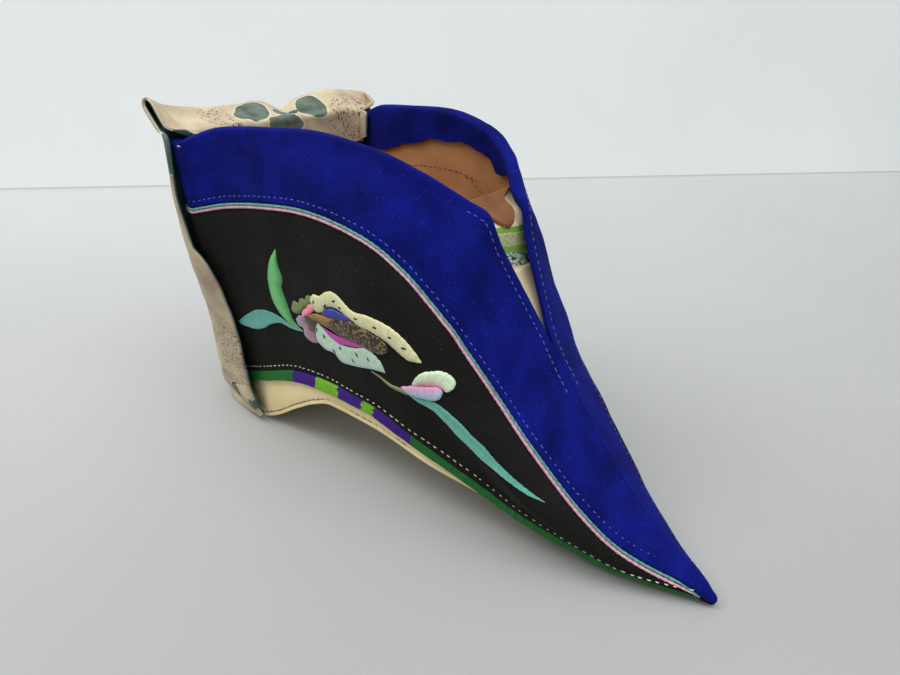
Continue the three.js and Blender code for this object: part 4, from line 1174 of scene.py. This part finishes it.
addPiece("lintFleck", *looseThreads([(15.4, 59.4, 80, 1.1), (15.8, 60.1, 20, 0.7)], 0.13 * mm, 60),
         creamThread, "black_cloth", sharp=180)
pinkThread = threadMaterial("pinkThread", colour(222, 178, 172), colour(160, 110, 108))
addPiece("tackingThreads", *looseThreads([(6.6, 81.0, -20, 1.6), (6.4, 80.2, -25, 1.5), (6.7, 73.6, -60, 1.2)],
                                         0.2 * mm, 70), pinkThread, "blue_cloth", sharp=180)

# Tongue and the rounded end of the lining that lies on it
tongue = {
    "drop": 3.2 * mm,
    "footDrop": 1.7 * mm,
    "cloth": 1.0 * mm,
    "start": 0.5,
    "end": 0.71,
    "sag": 0.5 * mm,
    "slant": 0.19,
}


# It follows the collar line a little below it, nearer at its foot, straight across between the two walls
def tongueGrid(lowered, start, end, rows=90, columns=25):
    at = np.linspace(end, start, rows)
    slope = np.gradient(topAt(at), at) / shoe["footLength"]
    foot = (tongue["footDrop"] - tongue["drop"]) * smooth(at, 0.57, 0.63) * (1 - smooth(at, 0.65, 0.7))
    z = topAt(at) - (lowered + foot) * np.sqrt(1 + slope**2)
    up = (z - featherAt(at)) / sideHeight(at)
    side = insetPoint(at, up, wallAt(at) - 0.35 * mm)
    across = np.linspace(-1, 1, columns)
    grid = side[:, None] * [1, 0, 1] + np.array([0, 1, 0]) * (side[:, None, 1:2] * -across[:, None])
    grid[..., 2] -= tongue["sag"] * (1 - across**2)
    return grid


def tongueMaterial():
    material, tree, shader = newMaterial("tongueCloth", 0.92)
    place = addNode(tree, "ShaderNodeTexCoord").outputs["UV"]
    weave = placeGroup(tree, weaveGroup, {"Vector": place, "Threads": 14.0, "Slant": 0.0, "Uneven": 0.5})
    parts = addNode(tree, "ShaderNodeSeparateXYZ", {0: place})
    edge = addNode(tree, "ShaderNodeTexNoise", {"Vector": place, "Scale": 14.0})
    along = mathNode(tree, "MULTIPLY_ADD", mathNode(tree, "SUBTRACT", edge.outputs["Fac"], 0.5), 0.07, parts.outputs[0])
    share = mathNode(tree, "DIVIDE", along, 6.0)
    zones = addNode(tree, "ShaderNodeValToRGB", {0: share})
    zones.color_ramp.interpolation = "CONSTANT"
    cream, green, pale = colour(222, 208, 172), colour(110, 158, 52), colour(200, 204, 158)
    marks = [(0.0, cream), (tongueMarks[0], colour(96, 168, 172)), (tongueMarks[1], green),
             (tongueMarks[2], pale), (tongueMarks[3], green), (tongueMarks[4], cream)]
    zones.color_ramp.elements[0].color = cream
    zones.color_ramp.elements[1].position = marks[1][0]
    zones.color_ramp.elements[1].color = marks[1][1]
    for position, tint in marks[2:]:
        zones.color_ramp.elements.new(position).color = tint
    bars = mathNode(tree, "SINE", mathNode(tree, "ADD", mathNode(tree, "MULTIPLY", parts.outputs[0], 42.0),
                    mathNode(tree, "MULTIPLY", mathNode(tree, "PINGPONG", parts.outputs[1], 0.12), 160.0)))
    cells = addNode(tree, "ShaderNodeTexVoronoi", {"Vector": place, "Scale": 22.0})
    pick = addNode(tree, "ShaderNodeSeparateColor", {0: cells.outputs["Color"]})
    inSpeckle = mathNode(tree, "MULTIPLY", mathNode(tree, "GREATER_THAN", share, tongueMarks[0]),
                         mathNode(tree, "LESS_THAN", share, tongueMarks[1]))
    inBars = mathNode(tree, "MULTIPLY", mathNode(tree, "GREATER_THAN", share, tongueMarks[2]),
                      mathNode(tree, "LESS_THAN", share, tongueMarks[3]))
    base = mixColour(tree, mathNode(tree, "MULTIPLY", inSpeckle, mathNode(tree, "GREATER_THAN", pick.outputs[0], 0.5)),
                     zones.outputs[0], colour(26, 30, 34))
    base = mixColour(tree, mathNode(tree, "MULTIPLY", inSpeckle, mathNode(tree, "GREATER_THAN", pick.outputs[1], 0.72)),
                     base, cream)
    base = mixColour(tree, mathNode(tree, "MULTIPLY", inBars, mathNode(tree, "GREATER_THAN", bars, 0.1)),
                     base, colour(104, 134, 66))
    base = mixColour(tree, mathNode(tree, "MULTIPLY", inBars, mathNode(tree, "GREATER_THAN", pick.outputs[2], 0.9)),
                     base, colour(190, 122, 112))
    shade = mathNode(tree, "MULTIPLY_ADD", weave.outputs["Shade"], 0.3, 0.7)
    tree.links.new(mixColour(tree, shade, colour(120, 104, 76), base), shader.inputs["Base Color"])
    addBump(tree, shader, weave.outputs["Height"], 0.6, 0.15 * mm)
    return material


# Where the woven bands start, as shares of 60 mm from the tongue's foot
tongueMarks = [0.618, 0.670, 0.693, 0.7425, 0.767]
tongueTop = tongueGrid(tongue["drop"], tongue["start"], tongue["end"])
tongueUnder = tongueGrid(tongue["drop"] + tongue["cloth"], tongue["start"], tongue["end"])
tongueSteps = np.linalg.norm(np.diff(tongueTop[:, 12], axis=0), axis=1)
tongueRun = np.concatenate([[0], np.cumsum(tongueSteps)])
tongueUv = np.stack([tongueRun[:, None] + tongue["slant"] * tongueTop[..., 1], tongueTop[..., 1]], axis=-1)
addPiece("tongueCloth", *shellOf(tongueTop, tongueUnder, tongueUv), tongueMaterial(), "cream_cloth", ["tongue"])

# The lining comes up from under the facing at the far wall and lies on the tongue. Across, it goes from just
# past the middle to the far wall, then narrows to a lobe that ends in a half ellipse
liningTip = {"back": 0.455, "front": 0.546, "deep": 22 * mm, "above": 0.7 * mm, "near": -2.6 * mm, "far": 7.2 * mm}
tipShare = np.linspace(1, 0, 60)
tipDeep = liningTip["deep"] * (1 - smooth(tipShare, 0.0, 0.5)) - liningTip["above"]
tipTop = tongueGrid(tongue["drop"] + tipDeep, liningTip["back"], liningTip["front"], 60, 25)
tipWall = np.abs(tipTop[:, 0, 1])
tipFar = tipWall + (liningTip["far"] - tipWall) * smooth(tipShare, 0.45, 0.66)
tipNear = -tipWall + (liningTip["near"] + tipWall) * smooth(tipShare, 0.5, 0.72)
tipRound = np.sqrt(1 - np.clip((tipShare - 0.72) / 0.28, 0, 1) ** 2)
tipMiddle, tipHalf = (tipFar + tipNear) / 2, (tipFar - tipNear) / 2 * (0.03 + 0.97 * tipRound)
tipTop[..., 1] = tipMiddle[:, None] + tipHalf[:, None] * np.linspace(-1, 1, 25)
tipUv = np.stack([np.broadcast_to(tipShare[:, None] * cm, tipTop.shape[:2]), tipTop[..., 1]], axis=-1)
liningEndCloth = clothMaterial("liningEndCloth", colour(142, 98, 62), colour(112, 74, 46), {
    "threads": 14.0, "slant": 0.0, "uneven": 0.6, "contrast": 0.5, "bump": 0.6, "relief": 0.12})
addPiece("liningEnd", *shellOf(tipTop, tipTop - [0, 0, 0.6 * mm], tipUv), liningEndCloth, "brown_lining")

# Heel band: the same rows as its solid, made smooth. Shares of the sizes beside it
heelBand = {
    "cloth": 0.9 * mm, "clear": 1.0 * mm, "flare": 3.0 * mm, "loopReach": 8.6 * mm,
    "loopRise": 9.4 * mm, "loopSag": 1.8 * mm, "loopFar": 0.55, "flapDepth": 8 * mm, "flapTuck": 0.5 * mm,
    "farLonger": 0.035, "level": 0.65,
}
backHeight = float(sideHeight(0.0))
insideDepth = shoe["wall"] + shoe["seamGap"] + heelBand["cloth"] / 2
outsideDepth = -2 * shoe["seamGap"] - heelBand["cloth"] / 2


# One list per row: height up the back, station of the side edges, flare, depth of the cloth's middle, back and
# rise of the loop, thickness, share of the wall crossed
def heelBandRows():
    rows = []
    for up, clear, flare, thick, edge in (
        (-0.93, 0.4, 0.23, 2.0, 0.094), (-0.52, 0.4, 0.47, 2.0, 0.092), (0.0, 0.6, 0.7, 1.5, 0.086),
        (0.045, 0.95, 0.65, 1.2, 0.082), (0.13, 1.0, 0.6, 1.0, 0.073), (0.34, 0.9, 0.25, 1.0, 0.050),
        (0.6, 0.7, 0.5, 1.0, 0.012), (0.83, 0.5, 0.4, 1.0, -0.09), (1.0, 0.45, 0.1, 1.0, -0.05),
    ):
        level = up * float(featherAt(0.0)) / backHeight if up < 0 else up
        thickness = thick * heelBand["cloth"]
        depth = -thickness / 2 - clear * heelBand["clear"]
        rows.append([level, edge, flare * heelBand["flare"], depth, 0, 0, thickness, 0])
    for back, rise, cross in ((0.35, 0.26, 0.0), (0.72, 0.62, 0.0), (0.93, 0.85, 0.06), (0.86, 0.99, 0.14),
                              (0.62, 0.95, 0.3), (0.34, 0.66, 0.5), (0.06, 0.32, 0.75), (0.0, 0.14, 1.0)):
        depth = outsideDepth + (insideDepth - outsideDepth) * cross
        edge = -0.05 * (1 - cross) + 0.01 * cross
        rows.append([1.0, edge, -heelBand["flapTuck"] * cross, depth, back, rise, heelBand["cloth"], cross])
    for down in (0.12, 0.45, 1.0):
        level = 1 - down * heelBand["flapDepth"] / backHeight
        rows.append([level, 0.04, -heelBand["flapTuck"], insideDepth, 0, 0, heelBand["cloth"], 1])
    return np.array(rows)


# How much the loop's ridge sinks across the heel, right to left, and where its cloth is creased; millimetres
ridgeSag = np.array([[-33, 0.8], [-29, 2.2], [-25, 2.8], [-18, 2.9], [-11, 2.6], [-5, 2.2], [-1, 1.4], [2, 1.6],
                     [6, 3.5], [9, 4.0], [13, 1.6], [18, 0.3], [25, -0.9], [30, -0.5], [33, -0.3]])
heelCreases = [
    {"start": (7, 88), "end": (15, 79), "deep": 0.5, "wide": 2.2}, {"start": (3, 86), "end": (8, 80), "deep": -0.5, "wide": 2.4},
    {"start": (-30, 86), "end": (-16, 82), "deep": 0.5, "wide": 2.0}, {"start": (-20, 88), "end": (-8, 80), "deep": -0.4, "wide": 3.0},
    {"start": (20, 88), "end": (26, 78), "deep": -0.5, "wide": 3.0}, {"start": (29, 88), "end": (31, 78), "deep": 0.4, "wide": 1.6},
    {"start": (-22, 3), "end": (-6, 9), "deep": 0.55, "wide": 1.8}, {"start": (-20, 8), "end": (-10, 14), "deep": -0.5, "wide": 1.8},
    {"start": (22, 3), "end": (8, 8), "deep": 0.5, "wide": 1.9}, {"start": (-4, 2), "end": (3, 12), "deep": 0.5, "wide": 1.6},
]


# Columns run round the back from one side edge to the other. The loop leans back, sags between its ends and
# is pinched flat at both ends, where the cloth going down inside stays close to the cloth coming up
def heelBandMiddle(rows, columns):
    share = np.linspace(-1, 1, columns)
    around = -1 + np.abs(share) * (1 + rows[:, 1:2])
    edge = smooth(around, -1, -0.3)
    pinch = smooth(np.abs(share), 0.8, 1.0) * smooth(rows[:, 5:6], 0.12, 0.4) * rows[:, 7:8]
    depth = rows[:, 3:4] - rows[:, 2:3] * edge - pinch * 4.2 * mm
    around = around + heelBand["farLonger"] * smooth(share, 0.7, 1) * smooth(rows[:, 5:6], 0.1, 0.3)
    at = np.clip(around, 0, 1)
    flat = (featherAt(0.0) - featherAt(at) + backHeight * rows[:, :1]) / sideHeight(at)
    level = rows[:, :1] + (flat - rows[:, :1]) * heelBand["level"] * (1 - smooth(rows[:, :1], 0.1, 0.6))
    point = insetPoint(around, level, depth)
    point[..., 1] = np.where(share < 0, point[..., 1], -point[..., 1])
    half = shoe["collarWidth"] / 2
    lean = heelBand["loopFar"] + (1 - heelBand["loopFar"]) * (0.5 - point[..., 1] / shoe["collarWidth"])
    sag = np.interp(point[..., 1] / mm, ridgeSag[:, 0], ridgeSag[:, 1]) * mm * smooth(rows[:, 5:6], 0, 0.9)
    point[..., 0] -= (rows[:, 4:5] + 0.32 * pinch) * heelBand["loopReach"] * lean
    hollow = heelBand["loopSag"] * (1 - (point[..., 1] / half) ** 2) * lean
    point[..., 2] += rows[:, 5:6] * (heelBand["loopRise"] * lean - hollow) - sag
    return point


def offsetAlongNormal(grid, amount):
    run, climb = np.gradient(grid, axis=1), np.gradient(grid, axis=0)
    normal = np.cross(climb, run)
    normal /= np.maximum(np.linalg.norm(normal, axis=-1, keepdims=True), 1e-9)
    return grid + normal * np.asarray(amount)[..., None]


# Wrinkles: the same bells as the last's creases, laid out across and up the heel, with slow waves
def heelWrinkles(grid):
    y, z = grid[..., 1] / mm, grid[..., 2] / mm
    deep = 0.22 * np.sin(y * 0.42 + z * 0.1) * np.sin(z * 0.09 + 1) + 0.08 * np.sin(y * 1.1 - z * 0.5)
    for crease in heelCreases:
        (y0, z0), (y1, z1) = crease["start"], crease["end"]
        length = math.hypot(y1 - y0, z1 - z0)
        t = ((y - y0) * (y1 - y0) + (z - z0) * (z1 - z0)) / length**2
        off = (y - y0 - t * (y1 - y0)) ** 2 + (z - z0 - t * (z1 - z0)) ** 2
        past = np.maximum(np.maximum(-t, t - 1), 0) * length
        deep = deep + crease["deep"] * np.exp(-(off + past**2) / crease["wide"] ** 2)
    return -deep * mm


heelGrid = {"rows": 142, "columns": 109, "middle": 54}
heelRows = heelBandRows()
rowShare = np.linspace(0, 1, len(heelRows))
heelFine = curveThrough(heelRows, np.linspace(0, 1, heelGrid["rows"]), rowShare)
heelMiddle = heelBandMiddle(heelFine, heelGrid["columns"])
inLoop = smooth(heelFine[:, 5:6], 0.0, 0.3)
heelMiddle = offsetAlongNormal(heelMiddle, heelWrinkles(heelMiddle) * (1 - inLoop * (1 - heelFine[:, 7:8])))
heelThick = heelFine[:, 6:7]
stepsUp = np.linalg.norm(np.diff(heelMiddle, axis=0), axis=-1)
heelUp = np.concatenate([np.zeros((1, heelGrid["columns"])), np.cumsum(stepsUp, axis=0)])
stepsAcross = np.linalg.norm(np.diff(heelMiddle, axis=1), axis=-1)
heelAcross = np.concatenate([np.zeros((heelGrid["rows"], 1)), np.cumsum(stepsAcross, axis=1)], axis=1)
heelAcross -= heelAcross[:, heelGrid["middle"]][:, None]
middleUp = heelUp[:, heelGrid["middle"]][:, None]
heelUv = np.stack([heelAcross, np.broadcast_to(middleUp, heelUp.shape)], axis=-1)
heelOut = offsetAlongNormal(heelMiddle, heelThick / 2)
heelMid = offsetAlongNormal(heelMiddle, -heelThick * 0.1)
heelIn = offsetAlongNormal(heelMiddle, -heelThick * (0.5 - 0.2 * inLoop))

# Pebbles of the print: place across and up the cloth, half sizes and turn, in centimetres and degrees.
# Stipple: place, half sizes and turn of each cloud of dots
pebbles = [
    (-0.50, 9.76, 0.62, 0.42, -26), (0.52, 9.82, 0.38, 0.24, -20), (1.55, 9.78, 0.54, 0.40, -73),
    (0.24, 10.34, 0.56, 0.27, 8), (-3.72, 8.0, 0.4, 0.5, 0), (-3.3, 0.78, 0.26, 0.33, 0),
    (-4.13, 0.41, 0.28, 0.15, 0), (1.1, 1.3, 0.75, 0.5, 15), (-0.4, 3.4, 0.7, 0.5, -30), (2.3, 4.9, 0.6, 0.42, 50),
    (-0.9, 6.3, 0.75, 0.5, 25), (1.3, 7.2, 0.55, 0.38, -10),
]
stipples = [
    (-1.6, 9.85, 0.5, 0.6, 0), (2.7, 10.35, 1.0, 0.75, 0), (-3.7, 2.2, 0.75, 1.2, 0), (0.6, 2.3, 1.3, 0.5, 10),
    (0.8, 5.4, 1.1, 0.6, -20), (-1.9, 7.4, 0.9, 0.5, 15),
]


def printMaterial():
    material, tree, shader = newMaterial("printedCotton", 0.9)
    place = addNode(tree, "ShaderNodeTexCoord").outputs["UV"]
    weave = placeGroup(tree, weaveGroup, {"Vector": place, "Threads": 18.0, "Slant": 0.6, "Uneven": 0.45})
    age = placeGroup(tree, ageGroup, {"Vector": place, "Patches": 0.9, "Specks": 13.0, "Rare": 0.12})
    tone = addNode(tree, "ShaderNodeMapRange", {0: age.outputs["Tone"], 1: 0.35, 2: 0.65}).outputs[0]
    base = mixColour(tree, tone, colour(168, 146, 128), colour(205, 192, 158))
    bent = addNode(tree, "ShaderNodeTexNoise", {"Vector": place, "Scale": 1.6, "Detail": 1.0})
    bend = addNode(tree, "ShaderNodeVectorMath", {0: bent.outputs["Color"], 1: (0.5, 0.5, 0.5)}, operation="SUBTRACT")
    wavy = addNode(tree, "ShaderNodeVectorMath", {0: bend.outputs[0], "Scale": 0.22}, operation="SCALE")
    uneven = addNode(tree, "ShaderNodeVectorMath", {0: place, 1: wavy.outputs[0]}, operation="ADD").outputs[0]

    def spotDistance(across, up, wide, high, turn):
        spot = addNode(tree, "ShaderNodeMapping", {
            "Vector": uneven, "Location": (across, up, 0), "Rotation": (0, 0, math.radians(turn)),
            "Scale": (wide, high, 1)}, vector_type="TEXTURE")
        return addNode(tree, "ShaderNodeVectorMath", {0: spot.outputs[0]}, operation="LENGTH").outputs["Value"]

    nearest = spotDistance(*pebbles[0])
    for pebble in pebbles[1:]:
        nearest = mathNode(tree, "MINIMUM", nearest, spotDistance(*pebble))
    cloud = spotDistance(*stipples[0])
    for stipple in stipples[1:]:
        cloud = mathNode(tree, "MINIMUM", cloud, spotDistance(*stipple))
    crowd = addNode(tree, "ShaderNodeMapRange", {0: cloud, 1: 1.1, 2: 0.8}).outputs[0]
    cells = addNode(tree, "ShaderNodeTexVoronoi", {"Vector": place, "Scale": 12.0})
    dots = mathNode(tree, "MULTIPLY", mathNode(tree, "LESS_THAN", cells.outputs["Distance"], 0.3), crowd)
    base = mixColour(tree, mathNode(tree, "MULTIPLY", dots, 0.85), base, colour(52, 44, 34))
    inside = mathNode(tree, "LESS_THAN", nearest, 1.0)
    rim = mathNode(tree, "LESS_THAN", nearest, 1.09)
    mottle = addNode(tree, "ShaderNodeTexNoise", {"Vector": place, "Scale": 2.2, "Detail": 3.0}).outputs["Fac"]
    stone = mixColour(tree, addNode(tree, "ShaderNodeMapRange", {0: mottle, 1: 0.35, 2: 0.65}).outputs[0],
                      colour(66, 78, 72), colour(104, 116, 104))
    base = mixColour(tree, rim, base, colour(204, 196, 166))
    base = mixColour(tree, inside, base, stone)
    shade = mathNode(tree, "MULTIPLY_ADD", weave.outputs["Shade"], 0.3, 0.7)
    tree.links.new(mixColour(tree, shade, colour(60, 54, 44), base), shader.inputs["Base Color"])
    addBump(tree, shader, weave.outputs["Height"], 0.5, 0.12 * mm)
    return material


tealLining = clothMaterial("tealLining", colour(78, 108, 106), colour(52, 78, 80), {
    "threads": 16.0, "slant": 0.0, "uneven": 0.5, "contrast": 0.35, "bump": 0.5, "relief": 0.1})
addPiece("heelBandPrint", *shellOf(heelOut, heelMid, heelUv), printMaterial(), "printed_cloth", ["heel_band"])
addPiece("heelBandLining", *shellOf(offsetAlongNormal(heelMiddle, -heelThick * 0.12), heelIn, heelUv),
         tealLining, "printed_cloth")

# Floor and backdrop: one sheet that turns up along a line; painted shade makes its paper darker close by than far away
room = {"reach": 1.6, "behind": 0.233, "curve": 0.002, "turn": 53}


def makeRoom():
    bend = np.linspace(0.1, np.pi / 2, 12)
    y = np.concatenate([np.linspace(-room["reach"], room["behind"], 12),
                        room["behind"] + room["curve"] * np.sin(bend),
                        np.full(8, room["behind"] + room["curve"])])
    z = np.concatenate([np.zeros(12), room["curve"] * (1 - np.cos(bend)), np.linspace(0.1, room["reach"], 8)])
    across = np.linspace(-room["reach"], room["reach"], 2)
    turn = math.radians(room["turn"])
    grid = np.stack(np.broadcast_arrays(
        across[None] * math.cos(turn) - y[:, None] * math.sin(turn),
        across[None] * math.sin(turn) + y[:, None] * math.cos(turn), z[:, None]), axis=-1)
    faces, _ = gridFaces(len(y), 2)
    mesh = bpy.data.meshes.new("paperFloor")
    mesh.from_pydata(grid.reshape(-1, 3).tolist(), [], faces.tolist())
    mesh.shade_smooth()
    mesh.set_sharp_from_angle(angle=math.radians(20))
    floor = bpy.data.objects.new("paperFloor", mesh)
    bpy.context.scene.collection.objects.link(floor)
    material, tree, shader = newMaterial("paper", 0.9, specular=0.2)
    place = addNode(tree, "ShaderNodeTexCoord").outputs["Object"]
    parts = addNode(tree, "ShaderNodeSeparateXYZ", {0: place})
    back = mathNode(tree, "ADD", mathNode(tree, "MULTIPLY", parts.outputs[0], -math.sin(turn)),
                    mathNode(tree, "MULTIPLY", parts.outputs[1], math.cos(turn)))
    # Painted shade: the floor's colour darkens from the backdrop towards the camera
    near = addNode(tree, "ShaderNodeMapRange", {0: back, 1: -0.12, 2: room["behind"]}).outputs[0]
    groundWithPaintedShade = mixColour(tree, near, colour(150, 151, 150), colour(184, 186, 184))
    wall = mathNode(tree, "GREATER_THAN", parts.outputs[2], room["curve"])
    paper = mixColour(tree, wall, groundWithPaintedShade, colour(226, 228, 228))
    tone = addNode(tree, "ShaderNodeTexNoise", {"Vector": place, "Scale": 6.0, "Detail": 5.0}).outputs["Fac"]
    spread = addNode(tree, "ShaderNodeMapRange", {0: tone, 1: 0.3, 2: 0.7, 3: 0.97, 4: 1.03}).outputs[0]
    tree.links.new(mixColour(tree, 1.0, paper, spread, "MULTIPLY"), shader.inputs["Base Color"])
    mesh.materials.append(material)


makeRoom()

# Camera solved from the photo's outlines
view = {"place": (155.55 * mm, -120.66 * mm, 118.64 * mm), "yaw": 37.04, "pitch": -27.76, "roll": 3.11,
        "focal": 675.12, "width": 900}


# It looks along yaw and pitch and rolls about that line
def makeCamera():
    yaw, pitch, roll = (math.radians(view[k]) for k in ("yaw", "pitch", "roll"))
    ahead = np.array([-math.sin(yaw) * math.cos(pitch), math.cos(yaw) * math.cos(pitch), math.sin(pitch)])
    right = np.cross(ahead, [0, 0, 1])
    right /= np.linalg.norm(right)
    above = np.cross(right, ahead)
    turnedRight = right * math.cos(roll) + above * math.sin(roll)
    turnedUp = above * math.cos(roll) - right * math.sin(roll)
    data = bpy.data.cameras.new("camera")
    data.sensor_width = 36
    data.lens = view["focal"] * 36 / view["width"]
    data.clip_start = 0.01
    data.clip_end = 20
    camera = bpy.data.objects.new("camera", data)
    bpy.context.scene.collection.objects.link(camera)
    axes = np.stack([turnedRight, turnedUp, -ahead], axis=1)
    camera.matrix_world = Matrix.Translation(view["place"]) @ Matrix(axes.tolist()).to_4x4()
    bpy.context.scene.camera = camera


makeCamera()


def addLight(name, place, aim, size, power, tint):
    data = bpy.data.lights.new(name, "AREA")
    data.shape = "RECTANGLE"
    data.size, data.size_y = size
    data.energy = power
    data.color = tint
    light = bpy.data.objects.new(name, data)
    bpy.context.scene.collection.objects.link(light)
    light.location = place
    light.rotation_euler = (Vector(aim) - Vector(place)).to_track_quat("-Z", "Y").to_euler()


lights = [
    {"name": "window", "place": (-0.5, -0.35, 1.0), "aim": (0.05, 0, 0.03), "size": (0.9, 0.7), "power": 14.5, "tint": (1, 0.99, 0.97)},
    {"name": "ceiling", "place": (0.5, -0.2, 1.2), "aim": (0.07, 0, 0), "size": (1.2, 1.2), "power": 12, "tint": (0.97, 0.99, 1)},
]
for light in lights:
    addLight(light["name"], light["place"], light["aim"], light["size"], light["power"], light["tint"])
bpy.context.scene.view_settings.view_transform = "Standard"
world = bpy.data.worlds.new("room")
bpy.context.scene.world = world
world.use_nodes = True
world.node_tree.nodes["Background"].inputs[0].default_value = (0.9, 0.93, 0.95, 1)
world.node_tree.nodes["Background"].inputs[1].default_value = 0.7
